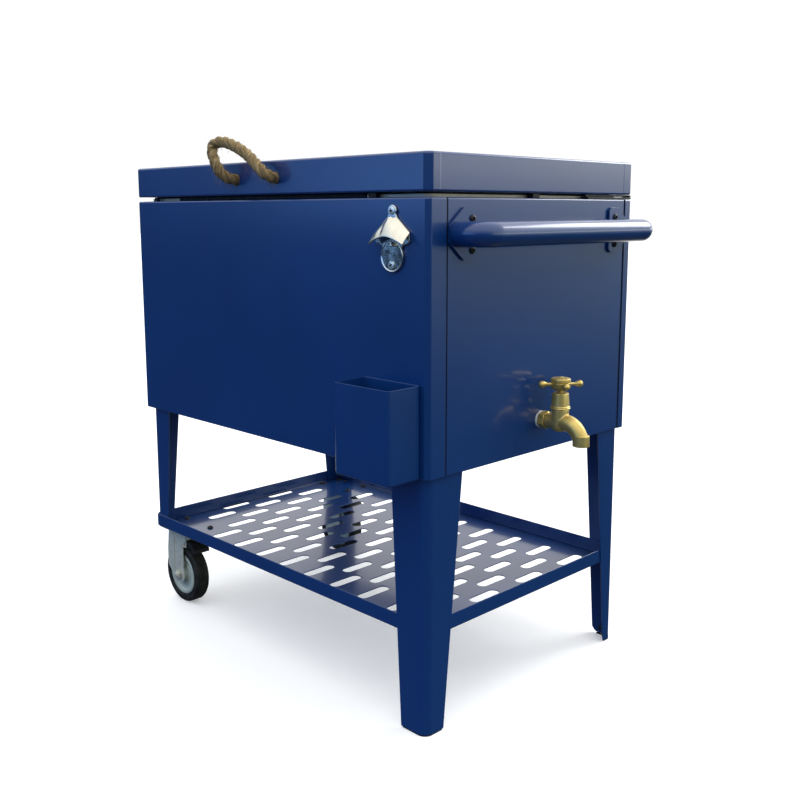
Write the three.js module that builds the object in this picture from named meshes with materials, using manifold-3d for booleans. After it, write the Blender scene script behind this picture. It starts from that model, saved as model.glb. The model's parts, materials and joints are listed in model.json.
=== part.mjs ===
// Rolling patio cooler: an insulated tub in a painted sheet-steel casing, on two long legs and
// two short legs with rigid casters, with a slotted shelf, a hinged lid with a rope pull, a push
// handle, a drain tap, a wall bottle opener and a cap catcher.
// Millimetres, +Z up. X runs along the cooler towards the tap end, -Y is the front.
// The origin is on the floor, under the centre of the object's bounding box without its rope.
import * as THREE from 'three';
import { mergeVertices } from 'three/addons/utils/BufferGeometryUtils.js';
import Module from 'manifold-3d';

const wasm = await Module();
wasm.setup();

// ---- driving dimensions -------------------------------------------------------------------
const LENGTH = 720;            // casing and lid, along X
const WIDTH = 476;             // casing and lid, along Y
const SHEET = 1.5;             // painted steel sheet
const GAP = 0.3;               // clearance between touching pieces
const BODY_BOTTOM = 375;
const BODY_TOP = 750.5;
const LID_BOTTOM = 757.6;
const LID_TOP = 808.7;
const CASING_RADIUS = 8;       // vertical bends of the casing and the lid
const SEAM = 2.4;              // open seam between the wrapped shells and the side panels
const FRONT_WRAP = 35;         // how far the front shell wraps round onto each side
const BACK_WRAP = 17;
const TOP_FLANGE = 15;         // the casing's inward fold, which carries the tub's rim

const INSULATION = 36;         // foam thickness at the walls
const INSULATION_FLOOR = 28;
const LINER = 3;               // tub wall
const RIM_INSET = 16;          // tub rim behind the casing's faces
const RIM_TOP = 755.2;

const TRAY_BOTTOM = 145.6;
const TRAY_RIM_TOP = 169;
const TRAY_FRONT = 232;        // tray half depth, rims included
const TRAY_LEFT = 355;
const TRAY_RIGHT = 352;

const TRAY_CORNER = 7;         // snipped corners at the caster end

const LEG_BEND = 11;
const PAD_HEIGHT = 2;
const PAD_SIZE = [34, 25];

const WHEEL_RADIUS = 54.5;
const TYRE_WIDTH = 28;
const HUB_RADIUS = 40;
const AXLE_X = -309;
const CASTER_Y = 194.5;

const TAP = { y: 9, z: 423.5, bonnetX: 35, spoutX: 73, outletZ: 394, seat: 21 };
const TAP_REACH = TAP.spoutX + 12.3;   // casing side to the outermost point of the spout
const TAP_HANDLE_YAW = 51.5;   // degrees, how the cross handle stands when the tap is shut

const HANDLE = { y: 13, z: 702.5, half: 197, reach: 48, radius: 17, bend: 38, wall: 1.8, screwRise: 21 };

const CATCHER = { x: 293.5, width: 107, depth: 60, bottom: 375.5, top: 504 };
const OPENER = { x: 297, screwLow: 661.5, screwHigh: 733, hoodHalf: 34, reach: 19 };

const ROPE_RADIUS = 8.5;
const ROPE_PLAY = 1.2;         // clearance of the rope in its holes
const ROPE_HOLES = [-57, 43];
const ROPE_Z = 782;

const PIN = { y: 236, z: 754, radius: 1.5, knuckle: 3.2 };
const HINGE_X = 352;           // strap hinges on the casing's top flange, at its two ends
const HINGE_WIDTH = 13;
const HINGE_LENGTH = 118;

const CATCHER_REACH = CATCHER.depth + GAP;
const HINGE_REACH = PIN.y + PIN.knuckle - WIDTH / 2;
const half = { x: LENGTH / 2, y: WIDTH / 2 };

// ---- materials ----------------------------------------------------------------------------
const finish = (color, roughness, metalness) => () =>
  new THREE.MeshStandardMaterial({ color, roughness, metalness });
const bluePaint = finish(0x1f3f7c, 0.35, 0.1);
const foam = finish(0xe9dfb8, 0.95, 0);
const creamPlastic = finish(0xe6dcc2, 0.5, 0);
const blackRubber = finish(0x1d1d1c, 0.85, 0);
const blackSteel = finish(0x24252a, 0.5, 0.3);
const blackPlastic = finish(0x161616, 0.55, 0);
const zinc = finish(0xa3a59c, 0.4, 0.8);
const chrome = finish(0xd0d4d8, 0.12, 1);
const brass = finish(0xa98f52, 0.32, 1);
const whiteRubber = finish(0xd9dad4, 0.7, 0);
const greyPlastic = finish(0x84938f, 0.5, 0);
const jute = finish(0xa58b5c, 0.95, 0);

// ---- tools --------------------------------------------------------------------------------
const cooler = new THREE.Group();
cooler.position.set(-(half.x + TAP_REACH + AXLE_X - WHEEL_RADIUS) / 2,
  (CATCHER_REACH - HINGE_REACH) / 2, 0);

function solidOf(geometry) {
  const bare = geometry.index ? geometry.toNonIndexed() : geometry.clone();
  bare.deleteAttribute('normal');
  bare.deleteAttribute('uv');
  const merged = mergeVertices(bare, 1e-4);
  const vertProperties = new Float32Array(merged.attributes.position.array);
  const triVerts = new Uint32Array(merged.index.array);
  return new wasm.Manifold(new wasm.Mesh({ numProp: 3, vertProperties, triVerts }));
}

function geometryOf(solid) {
  const out = solid.getMesh();
  const geometry = new THREE.BufferGeometry();
  geometry.setAttribute('position', new THREE.BufferAttribute(out.vertProperties, 3));
  geometry.setIndex(new THREE.BufferAttribute(out.triVerts, 1));
  geometry.computeVertexNormals();
  return geometry;
}

const join = (solids) => solids.reduce((whole, piece) => whole.add(piece));
const cut = (solid, tools) => tools.reduce((left, tool) => left.subtract(tool), solid);

function piece(name, solid, material, parent = cooler) {
  const mesh = new THREE.Mesh(geometryOf(solid), material());
  mesh.name = name;
  parent.add(mesh);
  return mesh;
}

function box(x0, x1, y0, y1, z0, z1) {
  const geometry = new THREE.BoxGeometry(x1 - x0, y1 - y0, z1 - z0);
  return solidOf(geometry.translate((x0 + x1) / 2, (y0 + y1) / 2, (z0 + z1) / 2));
}

// A cylinder (or cone) from point a to point b.
function rod(a, b, radius, sides = 20, endRadius = radius) {
  const from = new THREE.Vector3(...a);
  const to = new THREE.Vector3(...b);
  const along = to.clone().sub(from);
  const geometry = new THREE.CylinderGeometry(endRadius, radius, along.length(), sides);
  const turn = new THREE.Quaternion().setFromUnitVectors(
    new THREE.Vector3(0, 1, 0), along.clone().normalize());
  geometry.applyQuaternion(turn);
  return solidOf(geometry.translate(...from.add(to).multiplyScalar(0.5).toArray()));
}

// A body of revolution: profile points are [radius, height], turned about +Z at (x, y, z).
function turned(profile, x, y, z, sides = 24) {
  const points = profile.map(([r, h]) => new THREE.Vector2(r, h));
  const geometry = new THREE.LatheGeometry(points, sides);
  return solidOf(geometry.rotateX(Math.PI / 2).translate(x, y, z));
}

// A tube or rod along a curve.
function swept(curve, radius, steps, sides) {
  const section = new THREE.Shape();
  for (let i = 0; i <= sides; i++) {
    const a = (2 * Math.PI * i) / sides;
    if (i === 0) section.moveTo(radius, 0);
    else section.lineTo(radius * Math.cos(a), radius * Math.sin(a));
  }
  return solidOf(new THREE.ExtrudeGeometry(section, { steps, extrudePath: curve }));
}

function prism(shape, z0, z1, curveSegments = 5) {
  const geometry = new THREE.ExtrudeGeometry(shape, {
    depth: z1 - z0, bevelEnabled: false, curveSegments });
  return solidOf(geometry.translate(0, 0, z0));
}

// A prism whose outline lies in the XZ plane, from y0 to y1.
function prismAlongY(shape, y0, y1, curveSegments = 6) {
  const geometry = new THREE.ExtrudeGeometry(shape, {
    depth: y1 - y0, bevelEnabled: false, curveSegments });
  return solidOf(geometry.rotateX(Math.PI / 2).translate(0, y1, 0));
}

// A prism whose outline lies in the YZ plane, from x0 to x1.
function prismAlongX(shape, x0, x1, curveSegments = 8) {
  const geometry = new THREE.ExtrudeGeometry(shape, {
    depth: x1 - x0, bevelEnabled: false, curveSegments });
  return solidOf(geometry.rotateX(Math.PI / 2).rotateZ(Math.PI / 2).translate(x0, 0, 0));
}

function roundedRect(x0, x1, y0, y1, r) {
  const s = new THREE.Shape();
  s.moveTo(x0 + r, y0);
  s.lineTo(x1 - r, y0);
  s.absarc(x1 - r, y0 + r, r, -Math.PI / 2, 0);
  s.lineTo(x1, y1 - r);
  s.absarc(x1 - r, y1 - r, r, 0, Math.PI / 2);
  s.lineTo(x0 + r, y1);
  s.absarc(x0 + r, y1 - r, r, Math.PI / 2, Math.PI);
  s.lineTo(x0, y0 + r);
  s.absarc(x0 + r, y0 + r, r, Math.PI, 1.5 * Math.PI);
  return s;
}

// The outline of a folded sheet: it follows the outer line through the given points, turning
// left at each inner point with the given bend radius, and lies on the line's left.
function foldedOutline(points, thickness, radius, steps = 5) {
  const outer = [];
  const inner = [];
  const line = points.map((p) => new THREE.Vector2(...p));
  const left = (d) => new THREE.Vector2(-d.y, d.x);
  line.forEach((p, i) => {
    const before = i > 0 ? p.clone().sub(line[i - 1]).normalize() : null;
    const after = i < line.length - 1 ? line[i + 1].clone().sub(p).normalize() : null;
    if (!before || !after) {
      const side = left(before ?? after);
      outer.push(p);
      inner.push(p.clone().addScaledVector(side, thickness));
      return;
    }
    const turn = Math.acos(THREE.MathUtils.clamp(before.dot(after), -1, 1));
    const centre = p.clone().addScaledVector(before, -radius * Math.tan(turn / 2))
      .addScaledVector(left(before), radius);
    const start = left(before).negate();
    for (let k = 0; k <= steps; k++) {
      const spoke = start.clone().rotateAround(new THREE.Vector2(), (turn * k) / steps);
      outer.push(centre.clone().addScaledVector(spoke, radius));
      inner.push(centre.clone().addScaledVector(spoke, radius - thickness));
    }
  });
  return outer.concat(inner.reverse());
}

// A closed solid between two outlines that have the same number of points.
function loft(low, high, z0, z1) {
  const n = low.length;
  const vertices = [...low.map((p) => [p.x, p.y, z0]), ...high.map((p) => [p.x, p.y, z1])];
  const faces = [];
  for (const [a, b, c] of THREE.ShapeUtils.triangulateShape(low, [])) {
    faces.push([c, b, a], [a + n, b + n, c + n]);
  }
  for (let i = 0; i < n; i++) {
    const j = (i + 1) % n;
    faces.push([i, j, j + n], [i, j + n, i + n]);
  }
  const flat = faces.flat().flatMap((v) => vertices[v]);
  const geometry = new THREE.BufferGeometry();
  geometry.setAttribute('position', new THREE.BufferAttribute(new Float32Array(flat), 3));
  return solidOf(geometry);
}

function panScrew(x, y, z, outward, headRadius = 4.6, shank = 9) {
  const d = new THREE.Vector3(...outward);
  const at = (s) => [x + d.x * s, y + d.y * s, z + d.z * s];
  return join([rod(at(GAP), at(GAP + 1.2), headRadius, 16),
    rod(at(GAP + 1.2), at(GAP + 2.8), headRadius, 16, headRadius * 0.6),
    rod(at(-shank), at(GAP + 0.2), 2, 10)]);
}

function hexPrism(a, b, acrossFlats) {
  return rod(a, b, acrossFlats / Math.sqrt(3), 6);
}

// ---- casing -------------------------------------------------------------------------------
function wrappedShell(side, wrap) {
  const y = side * half.y;
  const inward = -side * wrap;
  const corners = side < 0
    ? [[-half.x, y + inward], [-half.x, y], [half.x, y], [half.x, y + inward]]
    : [[half.x, y + inward], [half.x, y], [-half.x, y], [-half.x, y + inward]];
  const skin = new THREE.Shape(foldedOutline(corners, SHEET, CASING_RADIUS));
  return prism(skin, BODY_BOTTOM, BODY_TOP);
}

// Clearance holes for the fasteners that go through a casing face.
const catcherScrews = [-30, 30].map((dx) => [CATCHER.x + dx, CATCHER.top - 40]);
const openerScrews = [[OPENER.x, OPENER.screwLow], [OPENER.x, OPENER.screwHigh]];
const handleScrewY = [-156, 187];
const handleScrews = handleScrewY.flatMap((y) =>
  [-HANDLE.screwRise, HANDLE.screwRise].map((dz) => [y, HANDLE.z + dz - 0.8]));
const frontHoles = [...catcherScrews, ...openerScrews].map(([x, z]) =>
  rod([x, -half.y - 2, z], [x, -half.y + 12, z], 2.4, 10));
const sideHoles = handleScrews.map(([y, z]) =>
  rod([half.x - 12, y, z], [half.x + 2, y, z], 2.4, 10));
const tapBore = rod([half.x - 80, TAP.y, TAP.z], [half.x + 4, TAP.y, TAP.z], 10.8, 24);

function casing() {
  const ring = (inset, z0) => prism(roundedRect(-half.x + inset, half.x - inset,
    -half.y + inset, half.y - inset, Math.max(CASING_RADIUS - inset, 2)), z0, BODY_TOP);
  const flange = cut(ring(0, BODY_TOP - SHEET),
    [prism(roundedRect(-half.x + TOP_FLANGE, half.x - TOP_FLANGE, -half.y + TOP_FLANGE,
      half.y - TOP_FLANGE, 4), BODY_TOP - 5, BODY_TOP + 5)]);
  const flangePart = (x0, x1, ya, yb) =>
    flange.intersect(box(x0, x1, ya, yb, BODY_TOP - 5, BODY_TOP + 5));
  const y0 = -half.y + FRONT_WRAP + SEAM;
  const y1 = half.y - BACK_WRAP - SEAM;
  const front = join([wrappedShell(-1, FRONT_WRAP),
    flangePart(-half.x, half.x, -half.y, -half.y + FRONT_WRAP)]);
  piece('front_shell', cut(front, frontHoles), bluePaint);
  piece('back_shell', join([wrappedShell(1, BACK_WRAP),
    flangePart(-half.x, half.x, half.y - BACK_WRAP, half.y)]), bluePaint);
  const recess = 0.8;
  const edge = half.x - recess;
  const right = join([box(edge - SHEET, edge, y0, y1, BODY_BOTTOM, BODY_TOP),
    flangePart(0, edge, y0, y1)]);
  piece('right_side_panel', cut(right, [tapBore, ...sideHoles]), bluePaint);
  piece('left_side_panel', join([box(-edge, -edge + SHEET, y0, y1, BODY_BOTTOM, BODY_TOP),
    flangePart(-edge, 0, y0, y1)]), bluePaint);
  const inset = SHEET + GAP + recess;
  piece('bottom_pan', prism(roundedRect(-half.x + inset, half.x - inset, -half.y + inset,
    half.y - inset, CASING_RADIUS - inset), BODY_BOTTOM, BODY_BOTTOM + SHEET), bluePaint);
}

// ---- tub ----------------------------------------------------------------------------------
const tub = {
  x: half.x - SHEET - INSULATION - 2,
  y: half.y - SHEET - INSULATION - 2,
  floor: BODY_BOTTOM + SHEET + INSULATION_FLOOR,
};

function insulatedTub() {
  const clear = SHEET + 2 * GAP + 0.8;
  const outer = prism(roundedRect(-half.x + clear, half.x - clear, -half.y + clear,
    half.y - clear, CASING_RADIUS - clear), BODY_BOTTOM + SHEET + GAP, BODY_TOP - SHEET - GAP);
  const hollow = prism(roundedRect(-tub.x, tub.x, -tub.y, tub.y, 24), tub.floor, BODY_TOP + 20);
  const block = cut(outer, [hollow, tapBore, ...frontHoles, ...sideHoles]);
  piece('body_insulation', block, foam);

  const wall = { x: tub.x - GAP, y: tub.y - GAP };
  const bowl = prism(roundedRect(-wall.x, wall.x, -wall.y, wall.y, 24 - GAP),
    tub.floor + GAP, BODY_TOP + GAP + 1);
  const rim = prism(roundedRect(-half.x + RIM_INSET, half.x - RIM_INSET, -half.y + RIM_INSET,
    half.y - RIM_INSET, 14), BODY_TOP + GAP, RIM_TOP);
  const inside = prism(roundedRect(-wall.x + LINER, wall.x - LINER, -wall.y + LINER,
    wall.y - LINER, 24 - GAP - LINER), tub.floor + GAP + LINER, RIM_TOP + 20);
  piece('inner_liner', cut(join([bowl, rim]), [inside, tapBore]), creamPlastic);

  const edge = 8;
  const bumpers = {
    front_left: [-307, -half.y + edge, 4, 3], front_right: [251, -half.y + edge, 7, 4],
    left: [-half.x + edge, -9, 5, 8], right: [half.x - edge, -9, 5, 8],
  };
  for (const [place, [x, y, sx, sy]] of Object.entries(bumpers)) {
    piece(`lid_bumper_${place}`,
      box(x - sx, x + sx, y - sy, y + sy, BODY_TOP + GAP, LID_BOTTOM - GAP), blackRubber);
  }
}

// ---- lid ----------------------------------------------------------------------------------
function hinges() {
  const leafY0 = PIN.y - HINGE_LENGTH;
  const knuckle = (x0, x1) => rod([x0, PIN.y, PIN.z], [x1, PIN.y, PIN.z], PIN.knuckle, 18);
  const bore = (x0, x1) => rod([x0 - 3, PIN.y, PIN.z], [x1 + 3, PIN.y, PIN.z],
    PIN.radius + GAP, 16);
  const third = HINGE_WIDTH / 3;
  const leafThickness = 2.9;
  for (const [label, cx] of [['left', -HINGE_X], ['right', HINGE_X]]) {
    const x0 = cx - HINGE_WIDTH / 2;
    const x1 = cx + HINGE_WIDTH / 2;
    const low = box(x0, x1, leafY0, PIN.y - 1, BODY_TOP + GAP, BODY_TOP + GAP + leafThickness);
    const middleGap = box(x0 + third - GAP, x1 - third + GAP, PIN.y - PIN.knuckle - 1,
      PIN.y + 9, PIN.z - 9, PIN.z + 9);
    const lowLeaf = join([cut(low, [middleGap]), knuckle(x0, x0 + third - GAP),
      knuckle(x1 - third + GAP, x1)]);
    piece(`hinge_${label}_body_leaf`, cut(lowLeaf, [bore(x0, x1)]), blackSteel);

    const top = LID_BOTTOM - GAP;
    const high = box(x0 + third, x1 - third, leafY0, PIN.y - 1, top - leafThickness, top);
    const highLeaf = join([high, knuckle(x0 + third, x1 - third)]);
    piece(`hinge_${label}_lid_leaf`, cut(highLeaf, [bore(x0, x1)]), blackSteel);
    piece(`hinge_${label}_pin`, rod([x0 - 1, PIN.y, PIN.z], [x1 + 1, PIN.y, PIN.z],
      PIN.radius, 14), zinc);
  }
}

function lid() {
  const plan = (inset) => roundedRect(-half.x + inset, half.x - inset, -half.y + inset,
    half.y - inset, CASING_RADIUS - inset * 0.8);
  const ropeBores = ROPE_HOLES.map((x) =>
    rod([x, -half.y - 3, ROPE_Z], [x, -half.y + 40, ROPE_Z], ROPE_RADIUS + ROPE_PLAY, 24));
  const pockets = ROPE_HOLES.map((x) =>
    box(x - 22, x + 22, -half.y - 3, -half.y + 58, ROPE_Z - 19, ROPE_Z + 19));
  const skin = cut(prism(plan(0), LID_BOTTOM, LID_TOP),
    [prism(plan(SHEET), LID_BOTTOM - 5, LID_TOP - SHEET), ...ropeBores]);
  piece('lid_shell', skin, bluePaint);
  const clear = SHEET + GAP;
  piece('lid_insulation', cut(prism(plan(clear), LID_BOTTOM + 3, LID_TOP - clear), pockets), foam);
  piece('lid_liner', prism(plan(clear), LID_BOTTOM + 0.2, LID_BOTTOM + 2.7), creamPlastic);

  const sealOuter = { x: half.x - RIM_INSET - 6, y: half.y - RIM_INSET - 6 };
  const sealShape = (inset, r) => roundedRect(-sealOuter.x + inset, sealOuter.x - inset,
    -sealOuter.y + inset, sealOuter.y - inset, r);
  const seal = cut(prism(sealShape(0, 12), RIM_TOP + GAP, LID_BOTTOM - 0.1),
    [prism(sealShape(9, 6), RIM_TOP - 5, LID_BOTTOM + 5)]);
  piece('lid_gasket', seal, blackRubber);
}

// The rope pull: out of the left hole, up over the lid's edge in a leaning loop, and down and
// back in through the right hole. Its ends are knotted inside the lid.
const ROPE_ROUTE = [
  [-57, -210, 782], [-57, -224, 782], [-57, -238, 782], [-57.5, -249, 783], [-61, -258.5, 788],
  [-65.5, -264.5, 797], [-70, -267, 808], [-76.5, -266.5, 819], [-81.5, -264.5, 829],
  [-79.5, -261.5, 836.5], [-69, -259, 839.5], [-56, -257, 838.3], [-41, -256, 834.3],
  [-22, -256, 827.6], [-3, -257, 819.2], [15, -259, 809.5], [31, -261, 799], [42, -259, 790],
  [46.5, -252, 784.5], [45, -244, 782.5], [43, -236, 782], [43, -223, 782], [43, -210, 782],
];

function ropeHandle() {
  const curve = new THREE.CatmullRomCurve3(ROPE_ROUTE.map((p) => new THREE.Vector3(...p)));
  piece('rope_handle', swept(curve, ROPE_RADIUS, 34, 8), jute);
  ['left', 'right'].forEach((label, i) => {
    const knot = new THREE.SphereGeometry(15, 12, 8).scale(1, 0.85, 1);
    const y = ROPE_ROUTE[0][1] + 15 * 0.85 + GAP;
    piece(`rope_knot_${label}`, solidOf(knot.translate(ROPE_HOLES[i], y, ROPE_Z)), jute);
  });
}

// ---- legs, shelf and casters ---------------------------------------------------------------
// An angle leg at corner (sx, sy); its flange widths taper from the top to the foot.
function leg({ sx, sy, x: cornerX, y: cornerY, top, foot }, zFoot) {
  const zTop = BODY_BOTTOM - GAP;
  const outline = (wx, wy) => {
    const points = [[-wx, 0], [0, 0], [0, wy]];
    return foldedOutline(points, SHEET, LEG_BEND).map((p) =>
      new THREE.Vector2(sx * (cornerX + p.x), sy * (cornerY - p.y)));
  };
  const order = (points) => (sx * sy > 0 ? [...points].reverse() : points);
  const angle = loft(order(outline(...foot)), order(outline(...top)), zFoot, zTop);
  const rim = 0.5;
  const ends = [sx * (cornerX - top[0] + 4), sx * (cornerX - rim)].sort((a, b) => a - b);
  const sides = [sy * (cornerY - top[1] + 4), sy * (cornerY - rim)].sort((a, b) => a - b);
  const plate = prism(roundedRect(...ends, ...sides, LEG_BEND - 1), zTop - SHEET, zTop);
  const bolts = [[18, 46], [46, 18]].map(([dx, dy]) =>
    rod([sx * (cornerX - dx), sy * (cornerY - dy), zTop - 9],
      [sx * (cornerX - dx), sy * (cornerY - dy), zTop + 3], 3.4, 12));
  return angle.add(cut(plate, bolts));
}

const legPlaces = [
  { name: 'leg_front_right', sx: 1, sy: -1, long: true, top: [68, 74], foot: [48, 38] },
  { name: 'leg_back_right', sx: 1, sy: 1, long: true, top: [64, 60], foot: [38, 26] },
  { name: 'leg_front_left', sx: -1, sy: -1, long: false, top: [57, 57], foot: [38, 36] },
  { name: 'leg_back_left', sx: -1, sy: 1, long: false, top: [57, 57], foot: [38, 36] },
].map((place) => ({
  ...place,
  x: place.long ? TRAY_RIGHT + GAP + SHEET : TRAY_LEFT - SHEET - GAP,
  y: place.long ? TRAY_FRONT + GAP + SHEET : TRAY_FRONT - SHEET - GAP,
}));

function legs() {
  for (const place of legPlaces) {
    const { name, sx, sy, long, x, y } = place;
    const zFoot = long ? PAD_HEIGHT + GAP : TRAY_BOTTOM + SHEET + GAP;
    piece(name, leg(place, zFoot), bluePaint);
    if (!long) continue;
    const inset = 0.6;
    const xs = [sx * (x - PAD_SIZE[0]), sx * (x - inset)].sort((a, b) => a - b);
    const ys = [sy * (y - PAD_SIZE[1]), sy * (y - inset)].sort((a, b) => a - b);
    piece(`foot_pad_${sy < 0 ? 'front' : 'back'}`,
      prism(roundedRect(...xs, ...ys, LEG_BEND - inset), 0, PAD_HEIGHT), blackRubber);
  }
}

const SLOT = { length: 60, width: 17.8, pitchX: 65.3, pitchY: 55.7, rows: 7, x: -18.3, y: 0.8 };
const casterHoles = [-39, 39].flatMap((dx) => [-22, 22].map((dy) => [dx, dy]));
const CASTER_PLATE_X = AXLE_X + 9;

function shelf() {
  const snip = LEG_BEND;       // corners cut away where the long legs wrap round
  const floor = new THREE.Shape();
  floor.moveTo(-TRAY_LEFT + TRAY_CORNER, -TRAY_FRONT);
  floor.lineTo(TRAY_RIGHT - snip, -TRAY_FRONT);
  floor.lineTo(TRAY_RIGHT, -TRAY_FRONT + snip);
  floor.lineTo(TRAY_RIGHT, TRAY_FRONT - snip);
  floor.lineTo(TRAY_RIGHT - snip, TRAY_FRONT);
  floor.lineTo(-TRAY_LEFT + TRAY_CORNER, TRAY_FRONT);
  floor.lineTo(-TRAY_LEFT, TRAY_FRONT - TRAY_CORNER);
  floor.lineTo(-TRAY_LEFT, -TRAY_FRONT + TRAY_CORNER);
  const hole = (x, y, r) => {
    const path = new THREE.Path();
    path.absarc(x, y, r, 0, 2 * Math.PI);
    floor.holes.push(path);
  };
  for (let row = 0; row < SLOT.rows; row++) {
    const y = SLOT.y + (row - (SLOT.rows - 1) / 2) * SLOT.pitchY;
    const staggered = row % 2 === 1;
    const count = staggered ? 10 : 11;
    for (let k = 0; k < count; k++) {
      const x = SLOT.x + (k - (count - 1) / 2) * SLOT.pitchX;
      const overCaster = Math.abs(y) > 150 && x < -230;
      if (overCaster) continue;
      const r = SLOT.width / 2;
      const reach = SLOT.length / 2 - r;
      const path = new THREE.Path();
      path.absarc(x, y + reach, r, 0, Math.PI);
      path.absarc(x, y - reach, r, Math.PI, 2 * Math.PI);
      path.lineTo(x + r, y + reach);
      floor.holes.push(path);
    }
  }
  for (const sy of [-1, 1]) {
    for (const [dx, dy] of casterHoles) hole(CASTER_PLATE_X + dx, sy * (CASTER_Y + 1) + dy, 4.4);
  }
  const base = prism(floor, TRAY_BOTTOM, TRAY_BOTTOM + SHEET, 3);
  const end = TRAY_RIGHT - snip;
  const side = TRAY_FRONT - snip;
  const start = -TRAY_LEFT + TRAY_CORNER;
  const left = TRAY_FRONT - TRAY_CORNER;
  const rims = [
    box(start, end, -TRAY_FRONT, -TRAY_FRONT + SHEET, TRAY_BOTTOM, TRAY_RIM_TOP),
    box(start, end, TRAY_FRONT - SHEET, TRAY_FRONT, TRAY_BOTTOM, TRAY_RIM_TOP),
    box(-TRAY_LEFT, -TRAY_LEFT + SHEET, -left, left, TRAY_BOTTOM, TRAY_RIM_TOP),
    box(TRAY_RIGHT - SHEET, TRAY_RIGHT, -side, side, TRAY_BOTTOM, TRAY_RIM_TOP),
  ];
  piece('shelf_tray', join([base, ...rims]), bluePaint);
}

// A rigid caster with a foot brake, under the shelf at (CASTER_PLATE_X, sy * CASTER_Y).
const CASTER = { plate: 2.6, forkInner: 17, forkSheet: 2.2, axle: 4.9 };

function forkLeg() {
  const top = TRAY_BOTTOM - GAP - WHEEL_RADIUS - 1;
  const s = new THREE.Shape();
  s.moveTo(15, top);
  s.lineTo(-31, top);
  s.lineTo(-37, 42);
  s.lineTo(-37, 12);
  s.lineTo(-12, -11.5);
  s.absarc(0, 0, 16.6, 1.24 * Math.PI, 2 * Math.PI);
  s.lineTo(15, 12);
  return s;
}

function caster(label, sy) {
  const group = new THREE.Group();
  group.position.set(AXLE_X, sy * CASTER_Y, WHEEL_RADIUS);
  cooler.add(group);
  const plateTop = TRAY_BOTTOM - GAP - WHEEL_RADIUS;
  const inner = CASTER.forkInner;
  const outer = inner + CASTER.forkSheet;
  const plate = cut(prism(roundedRect(-45, 61, -33, 33, 6), plateTop - CASTER.plate, plateTop),
    casterHoles.map(([dx, dy]) => rod([dx + 9, dy + sy, plateTop - 9],
      [dx + 9, dy + sy, plateTop + 3], 4.4, 14)));
  const forkSides = [-1, 1].flatMap((side) => {
    const y = [side * inner, side * outer].sort((a, b) => a - b);
    const ribY = [side * (outer - 0.2), side * (outer + 1.2)].sort((a, b) => a - b);
    return [prismAlongY(forkLeg(), ...y), box(-24, -13, ...ribY, 8, plateTop - 6)];
  });
  const axleHole = rod([0, -40, 0], [0, 40, 0], CASTER.axle + GAP, 16);
  const lugs = [-1, 1].map((side) => {
    const y = [side * inner, side * outer].sort((a, b) => a - b);
    return box(13, 26, ...y, 58, plateTop - 1);
  });
  const pivotHole = rod([21, -30, 64], [21, 30, 64], 2.8, 12);
  piece(`caster_fork_${label}`, cut(join([plate, ...forkSides, ...lugs]), [axleHole, pivotHole]),
    zinc, group);

  const hubWidth = 15;
  const hub = turned([[CASTER.axle + 1.6, -hubWidth], [12, -hubWidth], [14, -hubWidth + 2],
    [HUB_RADIUS - 3, -hubWidth + 3], [HUB_RADIUS, -hubWidth + 4], [HUB_RADIUS, hubWidth - 4],
    [HUB_RADIUS - 3, hubWidth - 3], [14, hubWidth - 2], [12, hubWidth],
    [CASTER.axle + 1.6, hubWidth], [CASTER.axle + 1.6, -hubWidth]], 0, 0, 0, 24);
  const onAxle = (solid) => solid.rotate([90, 0, 0]);
  piece(`wheel_hub_${label}`, onAxle(hub), greyPlastic, group);
  const w = TYRE_WIDTH / 2;
  const seat = HUB_RADIUS + GAP;
  const crown = [];
  for (let k = 0; k <= 6; k++) {
    const a = Math.PI * (k / 6 - 0.5);
    crown.push([WHEEL_RADIUS - 7 + 7 * Math.cos(a), (w - 1.5) * Math.sin(a)]);
  }
  const tyre = turned([[seat, -w + 2], [seat + 3, -w], ...crown, [seat + 3, w], [seat, w - 2],
    [seat, -w + 2]], 0, 0, 0, 32);
  piece(`wheel_tyre_${label}`, onAxle(tyre), blackRubber, group);

  const face = outer + GAP + 1.2;
  const axle = join([rod([0, -face - 7, 0], [0, face + 1, 0], CASTER.axle, 16),
    hexPrism([0, face, 0], [0, face + 5, 0], 15), hexPrism([0, -face - 5, 0], [0, -face, 0], 15)]);
  piece(`caster_axle_${label}`, axle, zinc, group);

  // The pedal: a lever from its pivot in the fork out over the tread to a foot plate.
  const arm = new THREE.Shape();
  arm.moveTo(15, 60);
  arm.lineTo(26, 58.5);
  arm.lineTo(33, 57.5);
  arm.lineTo(45, 49);
  arm.lineTo(51, 50.5);
  arm.lineTo(50, 57);
  arm.lineTo(39, 66.5);
  arm.lineTo(24, 71);
  arm.lineTo(15, 68);
  const bar = inner - 1;
  const pedal = cut(prismAlongY(arm, -bar, bar), [rod([21, -30, 64], [21, 30, 64], 2.8, 12)]);
  piece(`brake_pedal_${label}`, pedal, blackPlastic, group);
}

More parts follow.
